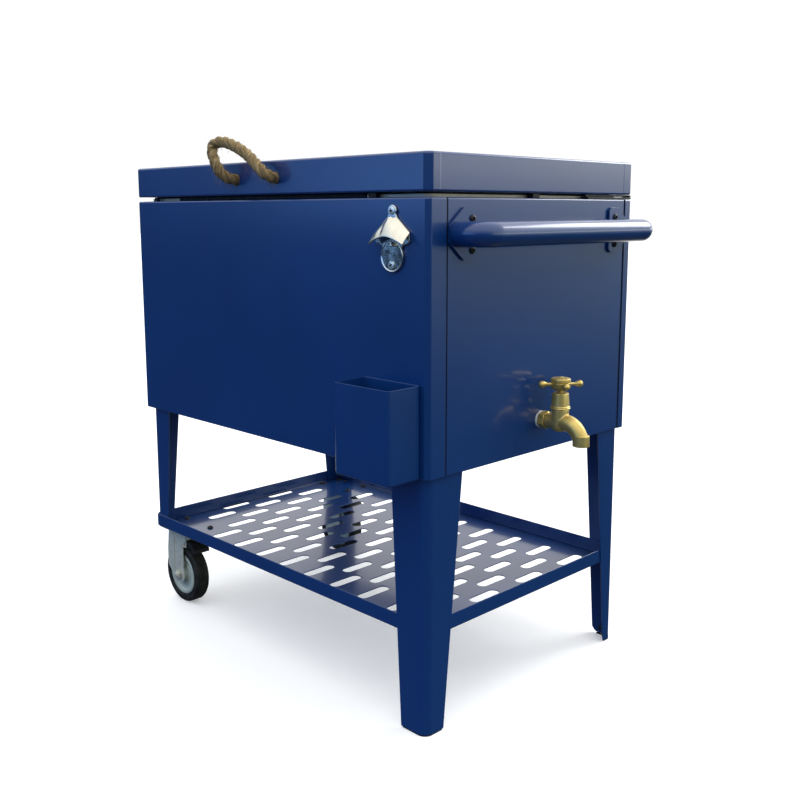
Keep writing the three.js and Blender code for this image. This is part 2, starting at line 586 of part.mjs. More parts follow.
// ---- push handle --------------------------------------------------------------------------
function pushHandle() {
  const face = half.x + GAP;
  const plateThickness = 3;
  const r = HANDLE.bend;
  const inBend = 0.55 * r;
  const x0 = face + plateThickness + GAP;
  const x1 = half.x + HANDLE.reach;
  const path = new THREE.CurvePath();
  const v = (x, y) => new THREE.Vector3(x, y, HANDLE.z);
  const ya = HANDLE.y - HANDLE.half;
  const yb = HANDLE.y + HANDLE.half;
  path.add(new THREE.LineCurve3(v(x0, ya), v(x1 - r, ya)));
  path.add(new THREE.CubicBezierCurve3(v(x1 - r, ya), v(x1 - r + inBend, ya),
    v(x1, ya + r - inBend), v(x1, ya + r)));
  path.add(new THREE.LineCurve3(v(x1, ya + r), v(x1, yb - r)));
  path.add(new THREE.CubicBezierCurve3(v(x1, yb - r), v(x1, yb - r + inBend),
    v(x1 - r + inBend, yb), v(x1 - r, yb)));
  path.add(new THREE.LineCurve3(v(x1 - r, yb), v(x0, yb)));
  const bar = swept(path, HANDLE.radius, 36, 14);
  const bores = [ya, yb].map((y) => rod([x0 - 2, y, HANDLE.z], [x1 - r, y, HANDLE.z],
    HANDLE.radius - HANDLE.wall, 14));
  piece('handle_tube', cut(bar, bores), bluePaint);

  for (const [label, side, cy] of [['front', -1, ya], ['back', 1, yb]]) {
    const outline = new THREE.Shape();
    const h = 35;
    const inner = 38;
    const outer = 17;
    const y = (s) => cy + side * s;
    outline.moveTo(y(-inner + 5), HANDLE.z + h);
    outline.lineTo(y(-inner), HANDLE.z + h - 5);
    outline.lineTo(y(-inner), HANDLE.z - h + 5);
    outline.lineTo(y(-inner + 5), HANDLE.z - h);
    outline.lineTo(y(-outer + 5), HANDLE.z - h);
    outline.lineTo(y(outer), HANDLE.z - 11);
    outline.lineTo(y(outer), HANDLE.z + 11);
    outline.lineTo(y(-outer + 5), HANDLE.z + h);
    const holes = handleScrews.map(([sy, sz]) =>
      rod([face - 2, sy, sz], [face + 9, sy, sz], 2.4, 10));
    piece(`handle_plate_${label}`, cut(prismAlongX(outline, face, face + plateThickness), holes),
      bluePaint);
  }
  handleScrews.forEach(([y, z], i) => {
    piece(`handle_screw_${i + 1}`, panScrew(face + plateThickness, y, z, [1, 0, 0], 5.2),
      blackSteel);
  });
}

// ---- bottle opener and cap catcher ----------------------------------------------------------
// A cast wall opener: an ear with a screw, a hood that flares out over the mouth, and a dished
// disc below with the lifting lip and the second screw.
function bottleOpener() {
  const wall = -half.y - GAP;
  const { x, screwLow, screwHigh, hoodHalf, reach } = OPENER;
  const earFront = wall - 4;
  const neck = screwHigh - 9;
  const horn = screwHigh - 45;
  const shoulder = screwHigh - 28;
  const ear = prismAlongY(roundedRect(x - 8, x + 8, neck - 2, screwHigh + 8, 7.9), earFront, wall);

  const front = new THREE.Shape();
  front.moveTo(x - 8, neck + 2);
  front.lineTo(x - 8, neck);
  front.lineTo(x - hoodHalf, shoulder);
  front.lineTo(x - hoodHalf, horn);
  front.lineTo(x + hoodHalf, horn);
  front.lineTo(x + hoodHalf, shoulder);
  front.lineTo(x + 8, neck);
  front.lineTo(x + 8, neck + 2);
  const side = new THREE.Shape();
  side.moveTo(wall, neck + 2);
  side.lineTo(wall - 4, neck + 1);
  side.lineTo(wall - reach + 1, horn + 13);
  side.lineTo(wall - reach, horn);
  side.lineTo(wall - 3, shoulder - 2);
  side.lineTo(wall, shoulder - 2);
  const hollow = new THREE.Shape();
  hollow.moveTo(wall - 3, neck - 4);
  hollow.lineTo(wall - reach + 4, horn + 12);
  hollow.lineTo(wall - reach + 3, horn - 3);
  hollow.lineTo(wall - 3, horn - 3);
  const archRadius = 54;
  const arch = rod([x, wall - reach - 5, horn + 12 - archRadius],
    [x, wall - reach + 6, horn + 12 - archRadius], archRadius, 48);
  const block = prismAlongY(front, wall - 30, wall).intersect(
    prismAlongX(side, x - 40, x + 40));
  const hood = cut(block, [prismAlongX(hollow, x - hoodHalf + 3, x + hoodHalf - 3), arch]);

  const discZ = screwLow + 11.5;
  const disc = rod([x, wall, discZ], [x, wall - 6, discZ], 21, 28);
  const dish = rod([x, wall - 3.4, discZ + 1], [x, wall - 9, discZ + 1], 17.5, 24);
  const back = box(x - 20, x + 20, wall - 3, wall, discZ, neck);
  const lip = box(x - 6, x + 6, wall - 10, wall, discZ + 18, discZ + 21.5);
  const seat = rod([x, wall, screwLow], [x, wall - 4.2, screwLow], 6.5, 18);
  const holes = openerScrews.map(([sx, z]) => rod([sx, wall - 9, z], [sx, wall + 4, z], 2.4, 10));
  piece('bottle_opener', cut(join([cut(disc, [dish]), ear, hood, back, lip, seat]), holes), chrome);
  openerScrews.forEach(([sx, z], i) => {
    const under = z === screwHigh ? earFront : wall - 4.2;
    piece(`opener_screw_${i + 1}`, panScrew(sx, under, z, [0, -1, 0], 4.2), zinc);
  });
}

function capCatcher() {
  const back = -half.y - GAP;
  const front = back - CATCHER.depth;
  const x0 = CATCHER.x - CATCHER.width / 2;
  const x1 = CATCHER.x + CATCHER.width / 2;
  const wall = 1.2;
  const shell = prism(roundedRect(x0, x1, front, back, 4), CATCHER.bottom, CATCHER.top, 4);
  const hollow = prism(roundedRect(x0 + wall, x1 - wall, front + wall, back - wall, 3),
    CATCHER.bottom + wall, CATCHER.top + 10, 4);
  const holes = catcherScrews.map(([x, z]) => rod([x, back - 4, z], [x, back + 4, z], 2.4, 10));
  piece('cap_catcher', cut(shell, [hollow, ...holes]), bluePaint);
}

// ---- drain tap ----------------------------------------------------------------------------
function drainTap() {
  const { y, z } = TAP;
  const wall = half.x - 0.8;
  const bonnetX = half.x + TAP.bonnetX;
  const spoutX = half.x + TAP.spoutX;
  const ring = (x0, x1, r, hole, sides = 28) =>
    cut(rod([x0, y, z], [x1, y, z], r, sides), [rod([x0 - 3, y, z], [x1 + 3, y, z], hole, 20)]);
  const shankRadius = 9.6;
  piece('tap_washer', ring(wall + GAP, wall + 3, 13, shankRadius + GAP), whiteRubber);
  const nutEnd = wall + 14;
  piece('tap_nut', cut(hexPrism([wall + 3 + GAP, y, z], [nutEnd, y, z], 24),
    [rod([wall, y, z], [nutEnd + 3, y, z], shankRadius + GAP, 20)]), brass);

  const inside = tub.x - GAP - LINER;
  const barrel = rod([nutEnd + GAP, y, z], [bonnetX + 6, y, z], 10.5, 24, 12.5);
  const upright = rod([bonnetX, y, z - 10], [bonnetX, y, z + TAP.seat], 13.2, 24);
  const flow = new THREE.CatmullRomCurve3([[-8, 1], [4, 1.5], [17, 0.5], [28.5, -6], [36, -17],
    [38, -27]].map(([dx, dz]) => new THREE.Vector3(bonnetX + dx, y, z + dz)));
  const spout = swept(flow, 12, 10, 14);
  const mouth = rod([spoutX, y, TAP.outletZ], [spoutX, y, TAP.outletZ + 17], 12.3, 24);
  const shank = rod([inside - 16, y, z], [nutEnd + 2, y, z], shankRadius, 24);
  const water = join([rod([spoutX, y, TAP.outletZ - 5], [spoutX, y, TAP.outletZ + 20], 8, 20),
    rod([inside - 20, y, z], [bonnetX - 2, y, z], 6.5, 20),
    rod([bonnetX, y, z - 5], [bonnetX, y, z + TAP.seat + 5], 7.5, 20),
    swept(flow, 6.5, 8, 8)]);
  piece('tap_body', cut(join([barrel, upright, spout, mouth, shank]), [water]), brass);

  const seat = z + TAP.seat + GAP;
  const hub = seat + 28;
  piece('tap_bonnet', turned([[5.4, 0], [15, 0], [15, 3.2], [13.6, 4.4], [12, 23], [11, 24],
    [5.4, 24], [5.4, 0]], bonnetX, y, seat, 18), brass);
  piece('tap_spindle', turned([[0, -16], [4.4, -16], [4.4, 34], [0, 34]], bonnetX, y, seat, 16),
    brass);

  const handle = new THREE.Group();
  handle.position.set(bonnetX, y, hub);
  handle.rotation.z = THREE.MathUtils.degToRad(TAP_HANDLE_YAW);
  cooler.add(handle);
  const middle = turned([[4.8, 0], [9, 0], [14, 2.5], [14.8, 5], [14.8, 13], [12.5, 15.5],
    [11.5, 18.5], [4.8, 18.5], [4.8, 0]], 0, 0, 0, 18);
  const knob = [[0, -1], [2.6, 0], [2.3, 5.5], [3.4, 8], [5, 11.5], [5.2, 14.3], [4, 17.4],
    [0, 19.2]];
  const arms = [0, 90, 180, 270].map((turn) => turned(knob, 0, 0, 0, 10)
    .rotate([0, 90, 0]).translate([14.4, 0, 8.5]).rotate([0, 0, turn]));
  piece('tap_handle', join([middle, ...arms]), brass, handle);

  piece('tap_inner_washer', ring(inside - 3, inside - GAP, 14.5, shankRadius + GAP), whiteRubber);
  piece('tap_backnut', cut(hexPrism([inside - 12, y, z], [inside - 3 - GAP, y, z], 24),
    [rod([inside - 20, y, z], [inside + 3, y, z], shankRadius + GAP, 20)]), brass);
}

// ---- assembly -----------------------------------------------------------------------------
casing();
insulatedTub();
hinges();
lid();
ropeHandle();
legs();
shelf();
caster('front', -1);
caster('back', 1);
pushHandle();
bottleOpener();
capCatcher();
drainTap();

export default cooler;
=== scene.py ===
"""Looks of the rolling patio cooler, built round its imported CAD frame.

Shapes are made in millimetres in the cooler's own frame: X runs along the cooler towards the tap,
-Y is the front, Z is up from the floor, and x = y = 0 is the middle of the casing. make() turns
them into pieces in metres in the row frame.
"""
import json
import random
from math import acos, atan2, cos, exp, pi, radians, sin, sqrt, tan

import bmesh
import bpy
import numpy as np
from mathutils import Matrix, Vector
from mathutils.geometry import tessellate_polygon


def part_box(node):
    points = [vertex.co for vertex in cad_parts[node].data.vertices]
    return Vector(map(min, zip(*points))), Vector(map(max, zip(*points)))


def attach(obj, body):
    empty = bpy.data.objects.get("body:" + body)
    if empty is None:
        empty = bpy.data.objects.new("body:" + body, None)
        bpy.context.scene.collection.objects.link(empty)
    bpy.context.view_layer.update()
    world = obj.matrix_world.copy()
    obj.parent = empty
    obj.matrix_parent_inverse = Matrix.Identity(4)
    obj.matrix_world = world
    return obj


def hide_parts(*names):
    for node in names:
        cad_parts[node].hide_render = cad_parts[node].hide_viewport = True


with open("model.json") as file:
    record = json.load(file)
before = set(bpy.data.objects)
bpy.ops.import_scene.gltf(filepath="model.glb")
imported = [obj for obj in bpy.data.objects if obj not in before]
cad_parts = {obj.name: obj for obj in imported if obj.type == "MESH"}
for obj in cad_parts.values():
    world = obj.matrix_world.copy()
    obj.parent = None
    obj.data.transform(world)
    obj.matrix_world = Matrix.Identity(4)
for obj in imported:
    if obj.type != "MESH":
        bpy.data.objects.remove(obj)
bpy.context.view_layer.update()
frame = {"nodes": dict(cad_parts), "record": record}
random.seed(7)

MM = 0.001
lid_low, lid_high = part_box("lid_shell")
CENTRE = Vector(((lid_low.x + lid_high.x) / 2, (lid_low.y + lid_high.y) / 2, 0))


def node_box(node):
    """Lowest and highest corner of a CAD node, in millimetres in the cooler's frame."""
    low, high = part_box(node)
    return (low - CENTRE) / MM, (high - CENTRE) / MM


def middle_and_half(node):
    """The middle of a CAD node's box and half its size, as in node_box()."""
    low, high = node_box(node)
    return (low + high) / 2, (high - low) / 2


def place(x, y, z):
    """A point of the cooler's frame, as a point of the row frame in metres."""
    return CENTRE + Vector((x, y, z)) * MM


def add_object(name, data):
    made = bpy.data.objects.new(name, data)
    bpy.context.scene.collection.objects.link(made)
    return made


LID_LOW, LID_HIGH = node_box("lid_shell")
HALF_X, HALF_Y = LID_HIGH.x, LID_HIGH.y


# ---- camera ----
CAMERA_PLACE = (1217.2, -1142.0, 731.8)
CAMERA_AZIMUTH, CAMERA_DOWN, CAMERA_ROLL = 45.644, 9.033, 0.116      # degrees
CAMERA_LENS, CAMERA_SENSOR = 43.34, 36
CAMERA_SHIFT = (0.0103, -0.0440)


def make_camera():
    data = bpy.data.cameras.new("camera")
    data.lens = CAMERA_LENS
    data.sensor_width = CAMERA_SENSOR
    data.shift_x, data.shift_y = CAMERA_SHIFT
    camera = add_object("camera", data)
    azimuth, elevation = radians(CAMERA_AZIMUTH), radians(CAMERA_DOWN)
    back = Vector((sin(azimuth) * cos(elevation),
                   -cos(azimuth) * cos(elevation), sin(elevation)))
    turn = (-back).to_track_quat("-Z", "Y").to_matrix()
    roll = Matrix.Rotation(-radians(CAMERA_ROLL), 3, "Z")
    camera.matrix_world = Matrix.Translation(place(*CAMERA_PLACE)) @ (turn @ roll).to_4x4()
    bpy.context.scene.camera = camera


make_camera()


# ---- shader nodes ----
def connect(tree, socket, value):
    """Feeds a socket from another node's output, or sets it to a fixed value."""
    if isinstance(value, bpy.types.NodeSocket):
        tree.links.new(value, socket)
    else:
        socket.default_value = value


def add_node(tree, kind, settings=None, **inputs):
    """A shader node with its settings, and its inputs by name with _ for a space."""
    made = tree.nodes.new(kind)
    for key, value in (settings or {}).items():
        setattr(made, key, value)
    for key, value in inputs.items():
        connect(tree, made.inputs[key.replace("_", " ")], value)
    return made


def colour_ramp(tree, value, stops):
    made = add_node(tree, "ShaderNodeValToRGB", Fac=value)
    points = made.color_ramp.elements
    while len(points) < len(stops):
        points.new(0.5)
    for point, (at, colour) in zip(points, stops):
        point.position = at
        point.color = (*colour, 1)
    return made.outputs["Color"]


def colour_mix(tree, share, first, second):
    made = add_node(tree, "ShaderNodeMix", {"data_type": "RGBA"})
    for index, value in ((0, share), (6, first), (7, second)):
        connect(tree, made.inputs[index], (*value, 1) if isinstance(value, tuple) else value)
    return made.outputs[2]


# ---- finishes ----
class Finish:
    """A Principled material and a few short ways to wire its procedural detail."""

    def __init__(self, name, **sockets):
        self.material = bpy.data.materials.new(name)
        self.material.use_nodes = True
        self.tree = self.material.node_tree
        self.shader = self.tree.nodes["Principled BSDF"]
        self.coordinates = self.tree.nodes.new("ShaderNodeTexCoord").outputs["Object"]
        for socket, value in sockets.items():
            self.shader.inputs[socket.replace("_", " ")].default_value = value

    def node(self, kind, settings=None, **inputs):
        return add_node(self.tree, kind, settings, **inputs)

    def stretched(self, x, y, z, vector=None):
        return self.node("ShaderNodeMapping", Vector=vector or self.coordinates,
                         Scale=(x, y, z)).outputs[0]

    def attribute(self, name):
        return self.node("ShaderNodeAttribute", {"attribute_name": name}).outputs["Vector"]

    def noise(self, scale, detail=2.0, vector=None, distortion=0.0):
        return self.node("ShaderNodeTexNoise", Vector=vector or self.coordinates, Scale=scale,
                         Detail=detail, Distortion=distortion).outputs["Fac"]

    def cells(self, scale, vector=None):
        return self.node("ShaderNodeTexVoronoi", Vector=vector or self.coordinates,
                         Scale=scale).outputs["Distance"]

    def ramp(self, value, *stops):
        return colour_ramp(self.tree, value, stops)

    def span(self, value, start, end, low, high):
        return self.node("ShaderNodeMapRange", {"clamp": True}, Value=value, From_Min=start,
                         From_Max=end, To_Min=low, To_Max=high).outputs[0]

    def blend(self, share, first, second):
        return colour_mix(self.tree, share, first, second)

    def sum(self, first, second, share=1.0):
        """first + share * second"""
        made = self.node("ShaderNodeMath", {"operation": "MULTIPLY_ADD"})
        for socket, value in zip(made.inputs, (second, share, first)):
            connect(self.tree, socket, value)
        return made.outputs[0]

    def wire(self, socket, value):
        self.tree.links.new(value, self.shader.inputs[socket])

    def colour(self, value, *stops):
        self.wire("Base Color", self.ramp(value, *stops))

    def rough(self, value, low, high, end=0.7):
        self.wire("Roughness", self.span(value, 0.3, end, low, high))

    def bump(self, height, millimetres, strength=1.0):
        made = self.node("ShaderNodeBump", Height=height, Distance=millimetres * MM,
                         Strength=strength)
        self.wire("Normal", made.outputs[0])


def paint_finish():
    f = Finish("blue_paint", Specular_IOR_Level=0.3, Coat_Weight=0.9, Coat_Roughness=0.12)
    cloud = f.noise(5, 3)
    blue = f.ramp(cloud, (0.3, (0.0028, 0.0345, 0.155)), (0.7, (0.0040, 0.0415, 0.182)))
    dust = f.span(f.noise(900, 1), 0.69, 0.76, 0, 0.14)
    f.wire("Base Color", f.blend(dust, blue, (0.16, 0.19, 0.27)))
    f.rough(f.noise(9, 2), 0.3, 0.36)
    f.bump(f.sum(f.noise(160, 1), f.noise(620, 1), 0.35), 0.05, 0.35)
    return f.material


def plain_finish(name, colour, roughness, bump, **sockets):
    """A finish whose colour, roughness and bump each follow a noise of their own.

    Each noise is (scale, detail). colour adds two ramp stops, roughness its two ends, and bump
    its height in millimetres and its strength.
    """
    f = Finish(name, **sockets)
    scale, detail, *stops = colour
    f.colour(f.noise(scale, detail), *stops)
    scale, detail, *ends = roughness
    f.rough(f.noise(scale, detail), *ends)
    scale, detail, millimetres, strength = bump
    f.bump(f.noise(scale, detail), millimetres, strength)
    return f.material


def rubber_finish(name, dark, dusty, millimetres):
    return plain_finish(name, (70, 6, (0.4, dark), (0.75, dusty)), (150, 4, 0.5, 0.78),
                        (900, 3, millimetres, 0.6), Specular_IOR_Level=0.3)


def moulded_finish(name, first, second, roughness):
    return plain_finish(name, (18, 5, (0.3, first), (0.75, second)),
                        (45, 4, roughness, roughness + 0.14), (1100, 2, 0.05, 0.4),
                        Specular_IOR_Level=0.4)


def foam_finish():
    f = Finish("foam", Specular_IOR_Level=0.2, Subsurface_Weight=0.1)
    f.colour(f.noise(30, 5), (0.3, (0.66, 0.56, 0.33)), (0.7, (0.8, 0.72, 0.48)))
    f.rough(f.noise(90, 3), 0.8, 0.97)
    f.bump(f.cells(900), 0.4, 0.7)
    return f.material


def zinc_finish():
    f = Finish("zinc_plate", Metallic=0.35)
    spangle = f.cells(130)
    f.colour(f.sum(spangle, f.noise(40, 4), 0.9), (0.35, (0.47, 0.47, 0.39)),
             (0.95, (0.66, 0.65, 0.55)))
    f.rough(f.noise(90, 4), 0.38, 0.58)
    f.bump(f.noise(700, 3), 0.03, 0.5)
    return f.material


def chrome_finish():
    f = Finish("chrome_painted_warm_reflection", Metallic=1.0)
    # The warm tint of the base colour is a painted reflection of warm surroundings; the noise only
    # varies it.
    f.colour(f.noise(50, 3), (0.3, (0.6, 0.58, 0.49)), (0.7, (0.74, 0.71, 0.61)))
    f.rough(f.noise(110, 5), 0.09, 0.2, end=0.72)
    f.bump(f.noise(150, 2), 0.18, 0.45)
    return f.material


def brass_finish():
    f = Finish("antique_brass", Metallic=0.72)
    tone = f.sum(f.noise(55, 5), f.noise(16, 2), 0.5)
    f.colour(tone, (0.42, (0.46, 0.325, 0.085)), (0.75, (0.68, 0.5, 0.15)),
             (1.0, (0.8, 0.62, 0.23)))
    lines = f.noise(60, 3, f.stretched(18, 18, 1.5))
    f.rough(lines, 0.3, 0.42)
    f.bump(f.sum(lines, f.noise(800, 2), 0.4), 0.03, 0.5)
    return f.material


def jute_finish():
    """Colour and fibre lines follow the strands: "lay" holds (along, round, strand number)."""
    f = Finish("jute", Specular_IOR_Level=0.15, Sheen_Weight=0.08, Sheen_Roughness=0.6)
    lay = f.attribute("lay")
    fibre = f.noise(1, 4, f.stretched(0.09, 2.2, 3, lay), 0.6)
    patch = f.noise(1, 3, f.stretched(0.07, 0.12, 5, lay))
    tone = f.sum(fibre, patch, 0.6)
    f.colour(tone, (0.5, (0.045, 0.026, 0.01)), (0.68, (0.17, 0.108, 0.043)),
             (0.85, (0.34, 0.235, 0.105)), (1.0, (0.6, 0.45, 0.22)))
    f.rough(fibre, 0.78, 0.98)
    f.bump(f.sum(fibre, f.noise(1500, 2), 0.4), 0.5, 0.8)
    return f.material


def floor_finish():
    f = Finish("studio_floor", Specular_IOR_Level=0.1, Emission_Color=(1, 1, 1, 1),
               Emission_Strength=0.28)
    f.colour(f.noise(1.2, 4), (0.3, (0.89, 0.89, 0.89)), (0.7, (0.91, 0.91, 0.91)))
    f.rough(f.noise(3, 2), 0.85, 0.95)
    return f.material


PAINT = paint_finish()
BLACK_STEEL = plain_finish(
    "black_coated_steel", (60, 4, (0.35, (0.008, 0.008, 0.009)), (0.75, (0.022, 0.022, 0.023))),
    (200, 3, 0.32, 0.55), (1400, 1, 0.04, 0.4), Specular_IOR_Level=0.4)
RUBBER = rubber_finish("black_rubber", (0.008, 0.008, 0.008), (0.022, 0.021, 0.02), 0.06)
TYRE = rubber_finish("tyre_rubber", (0.0075, 0.0072, 0.006), (0.03, 0.028, 0.023), 0.12)
FOAM = foam_finish()
LINER = moulded_finish("liner_plastic", (0.66, 0.58, 0.42), (0.74, 0.66, 0.5), 0.3)
HUB = moulded_finish("hub_plastic", (0.44, 0.49, 0.42), (0.52, 0.57, 0.49), 0.4)
PEDAL = moulded_finish("pedal_plastic", (0.0075, 0.0075, 0.0078), (0.015, 0.015, 0.015), 0.42)
WHITE_RUBBER = moulded_finish("white_rubber", (0.68, 0.68, 0.64), (0.78, 0.78, 0.75), 0.55)
ZINC = zinc_finish()
BRIGHT_ZINC = plain_finish(
    "bright_zinc", (120, 3, (0.3, (0.58, 0.69, 0.74)), (0.7, (0.74, 0.84, 0.88))),
    (260, 4, 0.2, 0.34), (1500, 2, 0.02, 0.4), Metallic=0.55)
CHROME = chrome_finish()
BRASS = brass_finish()
JUTE = jute_finish()

SLOT_FINISH = {
    "blue_paint": PAINT, "foam": FOAM, "liner_plastic": LINER, "black_rubber": RUBBER,
    "tyre_rubber": TYRE, "hinge_black": BLACK_STEEL, "zinc": ZINC, "hub_plastic": HUB,
    "pedal_plastic": PEDAL, "chrome": CHROME, "brass": BRASS, "white_rubber": WHITE_RUBBER,
    "jute": JUTE,
}


def slot_of(finish):
    return next(slot for slot, used in SLOT_FINISH.items() if used is finish)


# ---- shapes: (vertices, faces) in millimetres ----
def joined(*shapes):
    vertices, faces = [], []
    for more_vertices, more_faces in shapes:
        start = len(vertices)
        vertices += [tuple(v) for v in more_vertices]
        faces += [[i + start for i in face] for face in more_faces]
    return vertices, faces


def moved(shape, matrix):
    return [tuple(matrix @ Vector(v)) for v in shape[0]], shape[1]


def shifted(shape, x, y, z):
    return moved(shape, Matrix.Translation((x, y, z)))


def turned(shape, degrees, axis):
    return moved(shape, Matrix.Rotation(radians(degrees), 4, axis))


def laid(shape, centre, degrees, axis):
    """Turns a shape about an axis through the origin and then moves it to centre."""
    return moved(shape, Matrix.Translation(centre)
                 @ Matrix.Rotation(radians(degrees), 4, axis))


def along_x(shape, centre):
    """Lays a shape made about +Z so that its axis is +X, at centre."""
    return laid(shape, centre, 90, "Y")


def along_y(shape, centre):
    return laid(shape, centre, -90, "X")


def along_front(shape, centre):
    """Lays a shape made about +Z so that its axis points out of the front, at centre."""
    return laid(shape, centre, 90, "X")


def skin(rings, closed=True, caps=True, loop=False):
    """Faces between rings of equal length.

    closed: each ring closes on itself. loop: the last ring meets the first.
    """
    n, m = len(rings[0]), len(rings)
    vertices = [tuple(p) for ring in rings for p in ring]
    faces = []
    for i in range(m if loop else m - 1):
        for j in range(n if closed else n - 1):
            a, b = i * n + j, i * n + (j + 1) % n
            c, d = ((i + 1) % m) * n + (j + 1) % n, ((i + 1) % m) * n + j
            faces.append([a, b, c, d])
    if caps and not loop:
        faces.append(list(range(n))[::-1])
        faces.append([(m - 1) * n + j for j in range(n)])
    return vertices, faces


def circle(sides):
    """The angles of points evenly spaced round a circle."""
    return [2 * pi * k / sides for k in range(sides)]


def rectangle(half_x, half_y):
    return [(-half_x, -half_y), (half_x, -half_y), (half_x, half_y), (-half_x, half_y)]


def box_outline(x0, y0, x1, y1):
    return [(x0, y0), (x1, y0), (x1, y1), (x0, y1)]


def lathe(profile, sides=48, loop=False):
    """Turns (radius, height) points about +Z. A radius of 0 is kept tiny, so no faces collapse."""
    rings = []
    for radius, height in profile:
        r = max(radius, 0.02)
        rings.append([(r * cos(a), r * sin(a), height) for a in circle(sides)])
    return skin(rings, caps=not loop, loop=loop)


def arc(centre, radius, start, end, steps):
    """Points on an arc, from start to end in degrees."""
    angles = [radians(start + (end - start) * k / steps) for k in range(steps + 1)]
    return [(centre[0] + radius * cos(a), centre[1] + radius * sin(a)) for a in angles]


def rounded(points, radii, closed=True, steps=6):
    """A polyline with each corner rounded. radii is one number or one per point."""
    if not hasattr(radii, "__len__"):
        radii = [radii] * len(points)
    line = []
    n = len(points)
    for i, (p, r) in enumerate(zip(points, radii)):
        if r <= 0 or (not closed and i in (0, n - 1)):
            line.append(tuple(p))
            continue
        here = np.array(p, float)
        before = np.array(points[i - 1], float) - here
        after = np.array(points[(i + 1) % n], float) - here
        b, a = before / np.linalg.norm(before), after / np.linalg.norm(after)
        half = acos(max(-1, min(1, float(b @ a)))) / 2
        reach = min(r / tan(half), np.linalg.norm(before) / 2, np.linalg.norm(after) / 2)
        radius = reach * tan(half)
        middle = (b + a) / np.linalg.norm(b + a) * (radius / sin(half))
        start, end = here + b * reach - (here + middle), here + a * reach - (here + middle)
        turn = pi - 2 * half
        for k in range(steps + 1):
            t = turn * k / steps
            spoke = (start * sin(turn - t) + end * sin(t)) / sin(turn)
            line.append(tuple(here + middle + spoke))
    return line


def sections(centres):
    """Each point of a line with two directions across it, carried along without a twist."""
    across = None
    for i, centre in enumerate(centres):
        along = (centres[min(i + 1, len(centres) - 1)] - centres[max(i - 1, 0)]).normalized()
        if across is None:
            across = along.orthogonal().normalized()
        across = (across - along * across.dot(along)).normalized()
        yield centre, across, along.cross(across)


def tube(points, radius, sides=24):
    """A round tube along points; radius is one number or one per point."""
    radii = radius if hasattr(radius, "__len__") else [radius] * len(points)
    rings = []
    for r, (centre, across, other) in zip(radii, sections([Vector(p) for p in points])):
        rings.append([centre + r * (cos(a) * across + sin(a) * other)
                      for a in circle(sides)])
    return skin(rings)


def smooth_line(points, count):
    """count points evenly spaced along a Catmull-Rom curve through the given points."""
    p = [Vector(q) for q in points]
    p = [p[0] * 2 - p[1]] + p + [p[-1] * 2 - p[-2]]
    dense = []
    for i in range(1, len(p) - 2):
        for k in range(24):
            t = k / 24
            dense.append(0.5 * ((2 * p[i]) + (p[i + 1] - p[i - 1]) * t
                                + (2 * p[i - 1] - 5 * p[i] + 4 * p[i + 1] - p[i + 2]) * t * t
                                + (3 * p[i] - p[i - 1] - 3 * p[i + 1] + p[i + 2]) * t ** 3))
    dense.append(p[-2])
    steps = [0.0]
    for a, b in zip(dense, dense[1:]):
        steps.append(steps[-1] + (b - a).length)
    targets = np.linspace(0, steps[-1], count)
    columns = [np.interp(targets, steps, [v[axis] for v in dense]) for axis in range(3)]
    return [Vector(v) for v in zip(*columns)], steps[-1]


def frustum(outline, levels, axis="z"):
    """A prism whose outline shrinks or grows: levels are (height, inset) pairs along the axis.

    The outline is in XY for axis z, (x, z) for axis y and (y, z) for axis x.
    """
    put = {"z": lambda a, b, c: (a, b, c), "y": lambda a, b, c: (a, c, b),
           "x": lambda a, b, c: (c, a, b)}[axis]
    return skin([[put(a, b, h) for a, b in inset_line(outline, inset)] for h, inset in levels])


def terraced(outline, profile):
    """Rings on an outline for a profile of (inset, height) points."""
    return [[(x, y, z) for x, y in inset_line(outline, inset)] for inset, z in profile]


def slab(outline, low, high, axis="z"):
    """A straight prism on an outline."""
    return frustum(outline, [(low, 0), (high, 0)], axis)


def inset_line(outline, distance):
    """A closed outline moved inwards by distance, vertex by vertex."""
    points = np.array(outline, float)
    area = 0.5 * np.sum(points[:, 0] * np.roll(points[:, 1], -1)
                        - points[:, 1] * np.roll(points[:, 0], -1))
    sign = 1 if area > 0 else -1
    after = np.roll(points, -1, 0) - points
    after /= np.linalg.norm(after, axis=1)[:, None] + 1e-12
    before = np.roll(after, 1, 0)
    left = np.stack([-(after + before)[:, 1], (after + before)[:, 0]], 1)
    left /= np.linalg.norm(left, axis=1)[:, None] + 1e-12
    cosine = np.clip((left * np.stack([-after[:, 1], after[:, 0]], 1)).sum(1), 0.4, 1)
    return [tuple(p) for p in points + sign * left * (distance / cosine)[:, None]]


def solid(name, shape):
    """A shape as a mesh object in metres, with its faces turned outwards."""
    mesh = bpy.data.meshes.new(name)
    mesh.from_pydata([place(*v) for v in shape[0]], [], shape[1])
    mesh.update()
    outward(mesh)
    return add_object(name, mesh)


def apply_modifiers(piece):
    bpy.context.view_layer.update()
    result = piece.evaluated_get(bpy.context.evaluated_depsgraph_get())
    before = piece.data
    piece.data = bpy.data.meshes.new_from_object(result)
    piece.modifiers.clear()
    bpy.data.meshes.remove(before)


def add_bevel(piece, width, segments, degrees):
    rim = piece.modifiers.new("edge", "BEVEL")
    rim.width = width * MM
    rim.segments = segments
    rim.limit_method = "ANGLE"
    rim.angle_limit = radians(degrees)


def level_normals(piece):
    level = piece.modifiers.new("level", "WEIGHTED_NORMAL")
    level.keep_sharp = True
    level.weight = 80


def bored(piece, holes):
    """Cuts hole shapes out of a piece for good."""
    cutters = [solid("cutter", hole) for hole in holes]
    for cutter in cutters:
        bore = piece.modifiers.new("bore", "BOOLEAN")
        bore.operation = "DIFFERENCE"
        bore.object = cutter
    apply_modifiers(piece)
    for cutter in cutters:
        bpy.data.meshes.remove(cutter.data)


